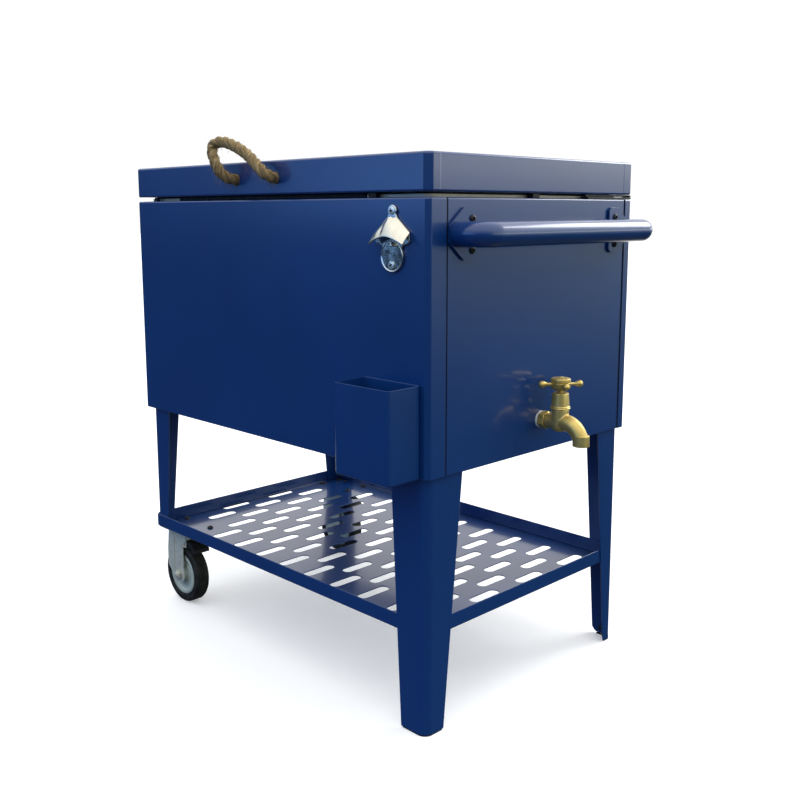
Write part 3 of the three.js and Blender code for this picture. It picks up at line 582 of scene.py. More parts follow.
def make(name, shape, finish, body, replaces=(), slot=None, sharp=32, bevel=0.0, segments=2,
         holes=()):
    """Turns a shape into a piece that rides on a body, with smooth faces and sharp edges."""
    piece = solid(name, shape)
    if holes:
        bored(piece, holes)
    piece.data.materials.append(finish)
    shade(piece.data, sharp)
    if bevel:
        add_bevel(piece, bevel, segments, 34)
    if sharp < 180:
        level_normals(piece)
    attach(piece, body)
    if replaces:
        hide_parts(*([replaces] if isinstance(replaces, str) else replaces))
    slot or slot_of(finish)
    return piece


def outward(mesh):
    work = bmesh.new()
    work.from_mesh(mesh)
    bmesh.ops.remove_doubles(work, verts=work.verts, dist=1e-7)
    bmesh.ops.recalc_face_normals(work, faces=work.faces)
    work.to_mesh(mesh)
    work.free()


def shade(mesh, sharp):
    mesh.polygons.foreach_set("use_smooth", [True] * len(mesh.polygons))
    mesh.set_sharp_from_angle(angle=radians(sharp))


def finish_nodes():
    """CAD nodes that stay: their finish, and small rounded edges on the sheet-metal ones."""
    slots = {s["node"]: s["material_slot"] for s in frame["record"]["subparts"]}
    for node, thing in frame["nodes"].items():
        thing.data.materials.clear()
        thing.data.materials.append(SLOT_FINISH[slots[node]])
        weld = thing.modifiers.new("weld", "WELD")
        weld.merge_threshold = 0.01 * MM
        flat = thing.modifiers.new("flat", "DECIMATE")
        flat.decimate_type = "DISSOLVE"
        flat.angle_limit = radians(1)
        add_bevel(thing, 0.45, 2, 40)
        level_normals(thing)
        shade(thing.data, 32)


# ---- rope pull ----
ROPE_ROUTE = [
    (-57, -210, 782), (-57, -224, 782), (-57, -238, 782), (-57.5, -249, 783), (-61, -258.5, 788),
    (-65.5, -264.5, 797), (-70, -267, 808), (-76.5, -266.5, 819), (-81.5, -264.5, 829),
    (-79.5, -261.5, 836.5), (-69, -259, 839.5), (-56, -257, 838.3), (-41, -256, 834.3),
    (-22, -256, 827.6), (-3, -257, 819.2), (15, -259, 809.5), (31, -261, 799), (42, -259, 790),
    (46.5, -252, 784.5), (45, -244, 782.5), (43, -236, 782), (43, -223, 782), (43, -210, 782),
]
ROPE_RADIUS = 8.5
ROPE_TURN = 46.0               # length of one full turn of a strand


def rope_surface(centres, length, sides=66):
    """A three-strand laid rope: round lobes twisted along the line, with yarns on each strand."""
    rings, lay = [], []
    for i, (centre, across, other) in enumerate(sections(centres)):
        s = length * i / (len(centres) - 1)
        twist = 2 * pi * s / ROPE_TURN
        ring = []
        for angle in circle(sides):
            strand, within = divmod(angle, 2 * pi / 3)
            within -= pi / 3
            lobe = 0.5 * cos(within) + sqrt(max(0.25 - (0.5 * sin(within)) ** 2, 0))
            lobe = 0.52 + 0.48 * lobe
            on_strand = atan2(lobe * sin(within), lobe * cos(within) - 0.5)
            yarn = abs(sin(2.2 * on_strand - s * 0.3 + strand * 1.7))
            rough = 0.22 * sin(s * 0.9 + strand * 2.1) + random.uniform(-0.16, 0.16)
            r = (ROPE_RADIUS + 0.4) * lobe - 0.6 + 0.6 * yarn + rough
            direction = cos(angle + twist) * across + sin(angle + twist) * other
            ring.append(centre + r * direction)
            lay.append((s + 14 * within, 6 * on_strand, strand + 1))
        rings.append(ring)
    return skin(rings), lay


def fuzz(centres, seed, amount, reach):
    """Loose jute fibres: thin curved three-sided spikes that leave the rope's surface."""
    draw = random.Random(seed)
    shapes = []
    for _ in range(amount):
        at = draw.uniform(0.05, 0.95)
        if draw.random() < 0.45:
            at = draw.choice((draw.uniform(0.1, 0.24), draw.uniform(0.8, 0.93)))
        i = min(int(at * (len(centres) - 1)), len(centres) - 2)
        centre, along = centres[i], (centres[i + 1] - centres[i]).normalized()
        side = along.orthogonal().normalized()
        side.rotate(Matrix.Rotation(draw.uniform(0, 2 * pi), 3, along))
        length = draw.uniform(0.35, 1.0) ** 2 * reach
        lean = along * draw.choice((-1, 1)) * draw.uniform(0.4, 1.6)
        droop = Vector((draw.uniform(-0.4, 0.4), draw.uniform(-0.4, 0.4), draw.uniform(-0.7, 0.3)))
        start = centre + side * (ROPE_RADIUS - 1.6)
        points = []
        for k in range(5):
            t = k / 4
            points.append(start + (side + lean * t) * length * t + droop * length * t * t)
        radii = [0.13 * (1 - 0.75 * k / 4) for k in range(5)]
        if any(p.y > LID_LOW.y - 0.4 and p.z < LID_HIGH.z + 0.4 for p in points):
            continue
        shapes.append(tube(points, radii, 3))
    return joined(*shapes)


rope_line, rope_length = smooth_line(ROPE_ROUTE, 420)
rope_shape, rope_lay = rope_surface(rope_line, rope_length)


def rope_pull():
    rope = make("rope", rope_shape, JUTE, "lid", "rope_handle", sharp=180)
    lay = rope.data.attributes.new("lay", "FLOAT_VECTOR", "POINT")
    lay.data.foreach_set("vector", [c for v in rope_lay[:len(rope.data.vertices)] for c in v])
    for label in ("left", "right"):
        middle, size = middle_and_half(f"rope_knot_{label}")
        turns = []
        for k in range(90):
            a = 2 * pi * k / 89
            swing = 0.52 * (1 + 0.35 * cos(3 * a))
            turns.append(middle + Vector((size.x * swing * cos(2 * a),
                                          size.y * 0.5 * sin(3 * a),
                                          size.z * swing * sin(2 * a))))
        knot = make(f"rope_end_{label}", tube(turns, 4.6, 12), JUTE, "lid", f"rope_knot_{label}",
                    sharp=180)
    strays = make("rope_fibres", fuzz(rope_line, 3, 800, 12.0), JUTE, "lid")
    place(*ROPE_ROUTE[0])
    [place(*p) for p in rope_line]


# ---- casing and lid ----
SHEET = 1.5
TOP_FLANGE = 15
SEAM = 1.2                     # how far a side panel's ends stand back from the wrapped corners
BODY_CHAMFER, LID_CHAMFER, BEND = (6.5, 3), (9.5, 3.5), 2.2
CHAMFER_SHRINK = 0.586         # how much a chamfer's leg loses per millimetre of inset


def corner_points(inset, chamfer):
    """The casing's plan moved in by inset, with the chamfers of its near and other corners."""
    x, y = HALF_X - inset, HALF_Y - inset
    near, other = (max(size - CHAMFER_SHRINK * inset, 0.4) for size in chamfer)
    return x, y, near, other


def whole_plan(inset, chamfer, bend, step=0.0):
    """A closed plan, with the right side set back by a small step behind its wrapped corners."""
    x, y, t, s = corner_points(inset, chamfer)
    bend = max(bend - 0.4 * inset, 0.25)
    tab = HALF_Y - 23
    points = [(x, -y + t), (x, -tab), (x - step, -tab + 0.5), (x - step, tab - 0.5), (x, tab),
              (x, y - s), (x - s, y), (-x + s, y), (-x, y - s), (-x, -y + s), (-x + s, -y),
              (x - t, -y)]
    radii = [bend, 0, 0, 0, 0] + [bend] * 7
    return rounded(points, radii, steps=4)


def wrap_plan(inset, chamfer, bend, side, seam):
    """An open plan that runs round two corners, from one seam to the other."""
    x, y, near, s = corner_points(inset, chamfer)
    t = near if side < 0 else s
    bend = max(bend - 0.4 * inset, 0.25)
    points = [(-x, seam), (-x, side * (y - s)), (-x + s, side * y), (x - t, side * y),
              (x, side * (y - t)), (x, seam)]
    return rounded(points, bend, closed=False, steps=4)


def casing_profile(low, high, top_bend, back=0.0):
    """(inset, height) loop of a casing wall: bent in at the top, turned under at the bottom."""
    outer = [(TOP_FLANGE, high)] + arc((top_bend, high - top_bend), top_bend, 90, 180, 6)
    foot = arc((1.5, low + 1.5), 1.5, 180, 270, 4)
    inner = [(SHEET + 0.02, low)] + arc((top_bend, high - top_bend), top_bend - SHEET, 180, 90, 6)
    loop = outer + foot + inner + [(TOP_FLANGE, high - SHEET)]
    return [(inset + back if inset < TOP_FLANGE else inset, z) for inset, z in loop]


def casing():
    for node, side in (("front_shell", -1), ("back_shell", 1)):
        low, high = node_box(node)
        seam = high.y if side < 0 else low.y
        profile = casing_profile(low.z, high.z, 3)
        plans = [wrap_plan(inset, BODY_CHAMFER, BEND, side, seam) for inset, _ in profile]
        rings = [[(*plan[k], z) for plan, (_, z) in zip(plans, profile)]
                 for k in range(len(plans[0]))]
        make(node + "_skin", skin(rings), PAINT, "cart", node, bevel=0.5)
    for node, side in (("right_side_panel", 1), ("left_side_panel", -1)):
        low, high = node_box(node)
        back = HALF_X - max(abs(low.x), abs(high.x))
        profile = casing_profile(low.z, high.z, 3, back)
        rings = [[(side * (HALF_X - inset), y, z) for inset, z in profile]
                 for y in (low.y + SEAM, high.y - SEAM)]
        make(node + "_skin", skin(rings), PAINT, "cart", node, bevel=0.7)
    # Black strips deep in the seams beside the side panels: painted shade that darkens the seams.
    seams = []
    panel_low, panel_high = node_box("right_side_panel")
    for side in (-1, 1):
        x0, x1 = sorted((side * (HALF_X - 1.75), side * (HALF_X - 2.3)))
        for y0, y1 in ((node_box("front_shell")[1].y, panel_low.y + SEAM),
                       (panel_high.y - SEAM, node_box("back_shell")[0].y)):
            seams.append(slab(box_outline(x0, y0, x1, y1), panel_low.z + 1.6,
                              panel_high.z - 1.6))
    make("seam_shade_strips", joined(*seams), RUBBER, "cart")


def lid_shell():
    top, foot, low_z, high_z = 4.0, 3.0, LID_LOW.z, LID_HIGH.z
    outer, inner = ([(12, low_z + thick)]
                    + arc((foot, low_z + foot), foot - thick, 270, 180, 5)
                    + arc((top, high_z - top), top - thick, 180, 90, 7) for thick in (0, SHEET))
    rings = [[(x, y, z) for x, y in whole_plan(inset, LID_CHAMFER, BEND, 0.35)]
             for inset, z in inner[::-1] + outer]
    bore = lathe([(ROPE_RADIUS + 1, -6), (ROPE_RADIUS + 1, 6)], 32)
    bores = [along_front(bore, (x, -HALF_Y, z)) for x, _, z in (ROPE_ROUTE[0], ROPE_ROUTE[-1])]
    make("lid_skin", skin(rings), PAINT, "lid", "lid_shell", bevel=0.3, holes=bores)


# Where the black strip of painted shade runs in the front gap, along x and along y.
SHADE_STRIP_X, SHADE_STRIP_Y = (-243, 228), (-224.5, -219.5)


def front_shade_strip():
    """A soft black strip along the front, between the body and the lid: painted shade over the
    liner's rim, which lies in shadow there.
    """
    z0, z1 = node_box("front_shell")[1].z + 0.1, LID_LOW.z - 0.1
    bulb = rounded(box_outline(SHADE_STRIP_Y[0], z0, SHADE_STRIP_Y[1], z1), 1.6)
    make("front_shade_strip", slab(bulb, *SHADE_STRIP_X, "x"), RUBBER, "cart")


def lid_lining():
    """The foam in the lid and the plastic sheet under it, cut to the lid's corners."""
    for node, finish, edge in (("lid_insulation", FOAM, 0.6), ("lid_liner", LINER, 0.5)):
        low, high = node_box(node)
        inset = HALF_X - high.x
        outline = whole_plan(inset + 0.3, [size + 0.8 for size in LID_CHAMFER], BEND)
        levels = [(low.z, edge), (low.z + edge, 0), (high.z - edge, 0), (high.z, edge)]
        make(node + "_cut", frustum(outline, levels), finish, "lid", node)


# ---- legs and shelf ----
LEG_BEND = 15
LEGS = {          # flange widths along X and Y at the top and at the foot, and the foot's cuts
    "leg_front_right": (1, -1, (68, 74), (48, 38), (0, 0)),
    "leg_back_right": (1, 1, (64, 60), (38, 26), (8, 3)),
    "leg_front_left": (-1, -1, (57, 57), (38, 36), (0, 0)),
    "leg_back_left": (-1, 1, (57, 57), (38, 36), (0, 0)),
}
FOOT_PADS = {"foot_pad_front": "leg_front_right", "foot_pad_back": "leg_back_right"}


def angle_section(wide, deep, radius=LEG_BEND, thick=SHEET):
    """An angle's outline with its outer corner at the origin, flanges along -X and +Y."""
    outer = rounded([(-wide, 0), (0, 0), (0, deep)], radius, closed=False, steps=10)
    inner = rounded([(-wide, thick), (-thick, thick), (-thick, deep)], radius - thick,
                    closed=False, steps=10)
    return outer + inner[::-1]


def leg_reach(node):
    """How far from the middle a leg's outer corner is, along X and along Y."""
    low, high = node_box(node)
    return max(abs(low.x), abs(high.x)), max(abs(low.y), abs(high.y))


def legs():
    for node, (sx, sy, top, foot, cuts) in LEGS.items():
        low, high = node_box(node)
        corner_x, corner_y = leg_reach(node)
        rings = []
        for above, cut in ((0, 1), (3, 0.45), (8, 0), (high.z - low.z, 0)):
            z = low.z + above
            share = above / (high.z - low.z)
            wide, deep = (f + (t - f) * share - cut * c for f, t, c in zip(foot, top, cuts))
            rings.append([(sx * (corner_x + x), sy * (corner_y - y), z)
                          for x, y in angle_section(wide, deep)])
        plate = rounded([(0.6, 0.6), (top[0] - 4, 0.6), (0.6, top[1] - 4)], [10, 2, 2])
        plate = [(sx * (corner_x - x), sy * (corner_y - y)) for x, y in plate]
        gusset = slab(plate, high.z - SHEET, high.z)
        make(node + "_angle", skin(rings), PAINT, "cart", node, bevel=0.45)
        make(node + "_gusset", gusset, PAINT, "cart", bevel=0.3)
    for node, leg in FOOT_PADS.items():
        sx, sy, _, foot, cuts = LEGS[leg]
        corner_x, corner_y = (reach - 0.8 for reach in leg_reach(leg))
        line = angle_section(foot[0] - cuts[0] - 3, foot[1] - cuts[1] - 3, LEG_BEND - 0.8, 3.4)
        outline = [(sx * (corner_x + x), sy * (corner_y - y)) for x, y in line]
        pad = slab(outline, 0.05, node_box(leg)[0].z - 0.05)
        make(node + "_angle", pad, RUBBER, "cart", node, bevel=0.4)


TRAY_RIM = 4.2                 # width of the tray's turned-up rim in plan
SLOT = {"length": 60, "width": 17.8, "pitch_x": 65.3, "pitch_y": 55.7, "x": -18.3, "y": 0.8}
CASTER_ZONE = {"x": -230, "y": 150}


def slot_line(x, y, grow):
    r = SLOT["width"] / 2 + grow
    reach = SLOT["length"] / 2 - SLOT["width"] / 2
    return arc((x, y + reach), r, 0, 180, 9) + arc((x, y - reach), r, 180, 360, 9)


def slot_middles():
    """Middles of the staggered slots, with none over the casters."""
    middles = []
    for row in range(7):
        y = SLOT["y"] + (row - 3) * SLOT["pitch_y"]
        count = 10 if row % 2 else 11
        for k in range(count):
            x = SLOT["x"] + (k - (count - 1) / 2) * SLOT["pitch_x"]
            if not (abs(y) > CASTER_ZONE["y"] and x < CASTER_ZONE["x"]):
                middles.append((x, y))
    return middles


def tray():
    low, high = node_box("shelf_tray")
    left, right, deep = low.x, high.x, high.y
    snip, corner = 11, 7
    outline = rounded([(left + corner, -deep), (right - snip, -deep), (right, -deep + snip),
                       (right, deep - snip), (right - snip, deep), (left + corner, deep),
                       (left, deep - corner), (left, -deep + corner)], 3, steps=3)
    profile = ([(TRAY_RIM, low.z)] + arc((2.5, low.z + 2.5), 2.5, 270, 180, 4)
               + arc((0.75, high.z - 0.75), 0.75, 180, 0, 6)
               + arc((SHEET + 1.6, low.z + SHEET + 1.6), 1.6, 180, 270, 4)
               + [(TRAY_RIM, low.z + SHEET)])
    rim = skin(terraced(outline, profile), caps=False)
    slots = slot_middles()
    edge = 0.55
    stack = [(edge, low.z), (0.15, low.z + 0.16), (0, low.z + edge), (0, low.z + SHEET - edge),
             (0.15, low.z + SHEET - 0.16), (edge, low.z + SHEET)]
    walls = [skin([[(x, y, z) for x, y in slot_line(*slot, grow)] for grow, z in stack],
                  caps=False) for slot in slots]
    loops = [inset_line(outline, TRAY_RIM)] + [slot_line(*slot, edge) for slot in slots]
    sheets = [holed_sheet(loops, z) for z in (low.z, low.z + SHEET)]
    make("shelf_sheet", joined(rim, *walls, *sheets), PAINT, "cart", "shelf_tray")


def holed_sheet(loops, z):
    """A flat sheet between its outline (the first loop) and the holes inside it."""
    points = [(x, y, z) for line in loops for x, y in line]
    faces = tessellate_polygon([[Vector((x, y, 0)) for x, y in line] for line in loops])
    return points, [list(face) for face in faces]


# ---- casters ----
def both_sides(profile):
    """A ring turned from one side's (radius, height) points and their mirror image."""
    mirrored = [(radius, -height) for radius, height in profile[::-1]]
    return lathe(mirrored[:-1] + profile[:-1], 96, loop=True)


def wheels():
    for label in ("front", "back"):
        centre, size = middle_and_half(f"wheel_tyre_{label}")
        radius, half = size.z, size.y
        seat = radius - 14.2
        side = ([(seat, 0), (seat, half - 2), (seat + 1.6, half - 0.4),
                 (seat + 3.4, half - 0.9), (seat + 5, half - 0.35)]
                + arc((radius - 6, half - 6.4), 6, 82, 8, 7)
                + [(radius - 0.03, half - 9), (radius, 0)])
        make(f"tyre_{label}", along_y(both_sides(side), centre), TYRE, f"wheel_{label}",
             f"wheel_tyre_{label}")

        size = middle_and_half(f"wheel_hub_{label}")[1]
        rim, half = size.z, size.y
        face = [(6.6, 0), (6.6, half), (11, half), (12.2, half - 1), (13.4, half - 6.2),
                (17, half - 7), (19, half - 6.6), (20, half - 4.4), (22.2, half - 4.4),
                (23.2, half - 6.6), (29.6, half - 6), (31.5, half - 3.6), (32.4, half - 2.2),
                (36.6, half - 2), (38.6, half - 3), (39.4, half - 4.4), (rim, half - 5.6), (rim, 0)]
        make(f"hub_{label}", along_y(both_sides(face), centre), HUB, f"wheel_{label}",
             f"wheel_hub_{label}", bevel=0.5)


# ---- push handle ----
HANDLE_BEND = 38


def push_handle():
    low, high = node_box("handle_tube")
    middle, half = middle_and_half("handle_tube")
    radius, z = half.z, middle.z
    outer = high.x - radius
    ends = (low.y + radius, high.y - radius)
    path = rounded(box_outline(low.x, ends[0], outer, ends[1]), HANDLE_BEND, closed=False,
                   steps=14)
    make("handle_bar", tube([(x, y, z) for x, y in path], radius, 48), PAINT, "cart",
         "handle_tube", bevel=0.4)
    base = node_box("handle_plate_front")[1].x + 0.05
    for k in range(1, 5):
        middle, half = middle_and_half(f"handle_screw_{k}")
        size, tall = half.z, middle.x + half.x - base
        head = lathe([(size * 0.62, 0), (size, 0), (size, tall * 0.3), (size * 0.92, tall * 0.62),
                      (size * 0.7, tall * 0.9), (size * 0.5, tall), (size * 0.46, tall - 0.2),
                      (size * 0.42, tall * 0.35), (0, tall * 0.3)], 36)
        make(f"handle_bolt_{k}", along_x(head, (base, middle.y, middle.z)), BLACK_STEEL, "cart",
             f"handle_screw_{k}")


# ---- small parts ----
def cross_recess(size):
    """Cutters for the cross in a screw head whose face is at height 0."""
    reach, width, depth = size * 0.66, size * 0.2, size * 0.4
    bar = frustum(rectangle(reach, width), [(-depth, width * 0.5), (0.5, 0)])
    return [bar, turned(bar, 90, "Z")]


def crossed_screw(name, centre, size, tall, turn, node):
    """A countersunk screw on the front, with a cross in its domed head and a black cross of painted
    shade down in the recess.
    """
    head = lathe([(0, 0), (size, 0), (size, tall * 0.35), (size * 0.86, tall * 0.72),
                  (size * 0.5, tall * 0.96), (0, tall)], 40)
    spin = Matrix.Rotation(radians(turn), 4, "Z") @ Matrix.Translation((0, 0, tall))
    holes = [along_front(moved(cutter, spin), centre) for cutter in cross_recess(size)]
    make(name, along_front(head, centre), BRIGHT_ZINC, "cart", node, slot="zinc", holes=holes)
    # A black cross down in the recess: painted shade in the cross.
    recess_shade = slab(rectangle(size * 0.7, size * 0.22), -size * 0.3, -size * 0.14)
    cross = joined(recess_shade, turned(recess_shade, 90, "Z"))
    make(name + "_recess", along_front(moved(cross, spin), centre), BLACK_STEEL, "cart")


def pan_bolt(size, tall):
    """A low domed bolt head with a socket, its face up."""
    return lathe([(size * 0.96, 0), (size, tall * 0.25), (size * 0.93, tall * 0.6),
                  (size * 0.72, tall * 0.9), (size * 0.5, tall), (size * 0.44, tall * 0.95),
                  (size * 0.42, tall * 0.4), (0, tall * 0.35)], 28)


def hex_radius(angle, across):
    """Distance from the middle of a hexagon to its edge."""
    off = (angle + pi / 6) % (pi / 3) - pi / 6
    return across / 2 / cos(off)


def hex_nut(across, thick, bore, chamfer=1.6, sides=72):
    """A nut turned about +Z with its corners cut round at both ends."""
    corner = across / sqrt(3)
    angles = circle(sides)
    rings = []
    for height, limit in ((0, corner - chamfer), (chamfer * 0.3, corner - chamfer * 0.55),
                          (chamfer * 0.62, corner), (thick - chamfer * 0.62, corner),
                          (thick - chamfer * 0.3, corner - chamfer * 0.55),
                          (thick, corner - chamfer)):
        reach = [min(hex_radius(a, across), limit) for a in angles]
        rings.append([(r * cos(a), r * sin(a), height) for a, r in zip(angles, reach)])
    for height in (thick, 0):
        rings.append([(bore * cos(a), bore * sin(a), height) for a in angles])
    return skin(rings, loop=True)


def melted(name, shapes, finish, body, node):
    """Solids cast into one: their union with its inner corners filled and smoothed."""
    piece = solid(name, joined(*shapes))
    cast = piece.modifiers.new("cast", "REMESH")
    cast.mode = "VOXEL"
    cast.voxel_size = 0.7 * MM
    soft = piece.modifiers.new("soft", "SMOOTH")
    soft.factor = 0.5
    soft.iterations = 10
    thin = piece.modifiers.new("thin", "DECIMATE")
    thin.ratio = 0.3
    apply_modifiers(piece)
    piece.data.materials.clear()
    piece.data.materials.append(finish)
    shade(piece.data, 60)
    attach(piece, body)
    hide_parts(node)


# ---- bottle opener and cap catcher ----
def bottle_opener():
    low, high = node_box("bottle_opener")
    x, wall = (low.x + high.x) / 2, high.y
    upper, lower = high.z - 8, low.z + 21
    horn = upper - 44
    flank = [(9, upper - 8.5), (32, horn + 16.5), (32, horn + 2), (19.5, lower + 14)]
    plate = rounded(arc((x, upper), 8, -30, 210, 16) + [(x - out, z) for out, z in flank]
                    + arc((x, lower), 20.5, 150, 390, 40)
                    + [(x + out, z) for out, z in flank[::-1]],
                    [0] * 17 + [3, 3, 4, 3] + [0] * 41 + [3, 4, 3, 3], steps=5)
    back = slab(plate, wall - 3.6, wall, "y")
    make("opener_plate", back, CHROME, "cart", "bottle_opener", bevel=1.1, segments=3)

    rows, columns = 11, 41
    hood = []
    for i in range(rows):
        v = i / (rows - 1)
        row = []
        for k in range(columns):
            u = 2 * k / (columns - 1) - 1
            rear = upper - 7.5 - 20.5 * max(0.0, abs(u) - 0.2) / 0.8
            front = horn + 10.5 - 10 * abs(u) ** 1.7
            swell = 2.4 * sin(pi * v) * (1 - u * u) ** 0.5
            crease = 1.7 * exp(-((u + 0.34) / 0.15) ** 2) * sin(pi * v) ** 0.5
            y = wall - 3.2 - (wall - 3.2 - low.y) * v + crease
            row.append((x + 33.3 * u * (1 - 0.03 * v), y - swell * 0.4 + 2.2 * v * v * u * u,
                        rear + (front - rear) * v ** 0.92 + swell))
        hood.append(row)
    roof = make("opener_hood", skin(hood, closed=False, caps=False), CHROME, "cart", sharp=180)
    thick = roof.modifiers.new("thick", "SOLIDIFY")
    thick.thickness = 2.4 * MM
    thick.offset = hood_side(roof)
    add_bevel(roof, 0.8, 3, 50)

    dish = lathe([(0, 0), (20.9, 0), (21, 3.4), (20.7, 4.2), (20.1, 4.5), (19.4, 4.2),
                  (18.4, 3.5), (13, 3.2), (0, 3.1)], 64)
    make("opener_dish", along_front(dish, (x, wall, lower)), CHROME, "cart", sharp=50)
    tooth = slab(rounded([(x - 7, horn - 3), (x + 7, horn - 3), (x + 5, horn + 3.6),
                          (x - 5, horn + 3.6)], 1.4), wall - 10.6, wall - 2, "y")
    make("opener_tooth", tooth, CHROME, "cart", bevel=0.9, segments=3)
    for k, turn, base in ((1, 20, 4.0), (2, 8, 3.4)):
        z = middle_and_half(f"opener_screw_{k}")[0].z
        crossed_screw(f"opener_crosshead_{k}", (x, wall - base, z), 5.4, 2.3, turn,
                      f"opener_screw_{k}")


def hood_side(piece):
    """Which way SOLIDIFY must grow a sheet so that it thickens towards the wall."""
    facing = sum((p.normal.y * p.area for p in piece.data.polygons), 0.0)
    return -1.0 if facing < 0 else 1.0


CATCHER_SCREW_X, CATCHER_SCREW_Z = 23.5, 464        # from the box's sides, and above the floor


def cap_catcher():
    low, high = node_box("cap_catcher")
    wall, bend = 1.2, 3.0
    outline = rounded(box_outline(low.x, low.y, high.x, high.y), [6, 6, 3, 3])
    outer = [(bend + 0.4, low.z)] + arc((bend, low.z + bend), bend, 270, 180, 5)
    inner = arc((bend, low.z + bend), bend - wall, 180, 270, 5) + [(bend + 0.4, low.z + wall)]
    lip = [(0, high.z - 0.6), (0.25, high.z - 0.15), (0.6, high.z), (0.95, high.z - 0.15),
           (wall, high.z - 0.6)]
    make("cap_box", skin(terraced(outline, outer + lip + inner)), PAINT, "cart", "cap_catcher")
    heads = [along_front(pan_bolt(4.4, 2.4), (x, high.y - wall, CATCHER_SCREW_Z))
             for x in (low.x + CATCHER_SCREW_X, high.x - CATCHER_SCREW_X)]
    make("cap_box_screws", joined(*heads), BLACK_STEEL, "cart")


# ---- drain tap ----
TAP_YAW = 51.5                 # how far the cross handle is turned, in degrees
NUT_TURN = 0.32                # how far the nut's flats are turned, in radians


def drain_tap():
    low, high = node_box("tap_bonnet")
    x, y, seat = (low.x + high.x) / 2, (low.y + high.y) / 2, low.z
    body_low, body_high = node_box("tap_body")
    spout_x, outlet = body_high.x - 12.3, body_low.z
    nut_low, nut_high = node_box("tap_nut")
    z = (nut_low.z + nut_high.z) / 2

    washer_low, washer_high = node_box("tap_washer")
    size, thick = (washer_high.z - washer_low.z) / 2, washer_high.x - washer_low.x
    ring = lathe([(10, 0), (size, 0), (size, thick * 0.7), (size - 0.5, thick), (10, thick)], 56,
                 loop=True)
    make("tap_seal", along_x(ring, (washer_low.x, y, z)), WHITE_RUBBER, "cart", "tap_washer")
    nut = moved(hex_nut(24, nut_high.x - nut_low.x, 10, 2.0), Matrix.Rotation(NUT_TURN, 4, "Z"))
    make("tap_hex_nut", along_x(nut, (nut_low.x, y, z)), BRASS, "cart", "tap_nut", bevel=0.35)

    barrel = lathe([(9.4, body_low.x - nut_high.x), (9.4, 0.2), (10.5, 0.3), (11.4, 1.2),
                    (11.2, 3), (11.4, 8), (12.4, x - nut_high.x)], 48)
    upright = lathe([(4, -13), (9.5, -12), (12.4, -8), (13.2, -2), (13.2, seat - z - 0.3)], 48)
    bend, _ = smooth_line([(x - 8, y, z + 1), (x + 4, y, z + 1.5), (x + 17, y, z + 0.5),
                           (x + 28.5, y, z - 6), (spout_x - 2, y, z - 17),
                           (spout_x, y, z - 27)], 40)
    spout = tube(bend, [12.6 - 1.2 * k / 39 for k in range(40)], 40)
    cast = [along_x(barrel, (nut_high.x, y, z)), shifted(upright, x, y, z), spout]
    melted("tap_casting", cast, BRASS, "cart", "tap_body")
    collar = lathe([(8, 0), (11.6, 0), (12.2, 0.6), (12.2, 15.2), (11.8, 16.2), (10.6, 16.8),
                    (8, 16.8)], 56, loop=True)
    make("tap_spout_collar", shifted(collar, spout_x, y, outlet), BRASS, "cart", bevel=0.3)

    bonnet = lathe([(5.4, 0), (14.2, 0), (14.9, 0.5), (15, 1.2), (14.6, 1.9), (14.1, 2.3),
                    (14.4, 2.7), (14.5, 3.3), (14.1, 4), (13.4, 4.5), (12.3, 21.6), (11.8, 23.2),
                    (10.9, 23.9), (5.4, 24)], 64, loop=True)
    make("tap_bonnet_turned", shifted(bonnet, x, y, seat), BRASS, "cart", "tap_bonnet")

    hub_low = node_box("tap_handle")[0].z
    hub = lathe([(4.8, 0), (8.6, 0), (12.4, 1.2), (14.2, 2.9), (14.8, 5), (14.8, 10.2),
                 (14.5, 10.9), (13.9, 11.2), (14.1, 11.7), (14.6, 12.1), (14.6, 15.6),
                 (14.1, 16.9), (12.9, 17.6), (10.4, 17.7), (9.8, 18.2), (4.8, 18.4)], 64,
                loop=True)
    knob = lathe([(0.02, -1), (2.9, -0.6), (2.5, 1), (2.3, 4.9), (2.6, 6.6), (3.5, 8.4),
                  (4.5, 10.5), (5.1, 12.7), (5.2, 14.3), (4.8, 16), (3.9, 17.5), (2.3, 18.6),
                  (0.02, 19.1)], 32)
    screw = lathe([(0, 16.4), (4.2, 16.4), (4.2, 18.8), (3.4, 19.2), (0, 19.2)], 32)
    arm = along_x(knob, (14.4, 0, 8.5))
    arms = [turned(arm, 90 * quarter, "Z") for quarter in range(4)]
    cross = laid(joined(hub, screw, *arms), (x, y, hub_low), TAP_YAW, "Z")
    make("tap_cross", cross, BRASS, "tap_handle", "tap_handle", sharp=50)


# ---- fasteners ----
CASTER_BOLTS = (39, 22)        # from the middle of the caster's plate, along X and Y
SHELF_CORNER = (-352, 229)     # the shelf's left corner, as its studs are placed from it
SHELF_STUDS = ((13, 10), (30, 10))
SHELF_PIN = (-346, 168)
LEG_BOLTS = ((18, 40), (40, 18))       # from a leg's outer corner
LOW_BOLT_X, LOW_BOLT_Z, SHELF_BOLT_X = 333, 12, 335


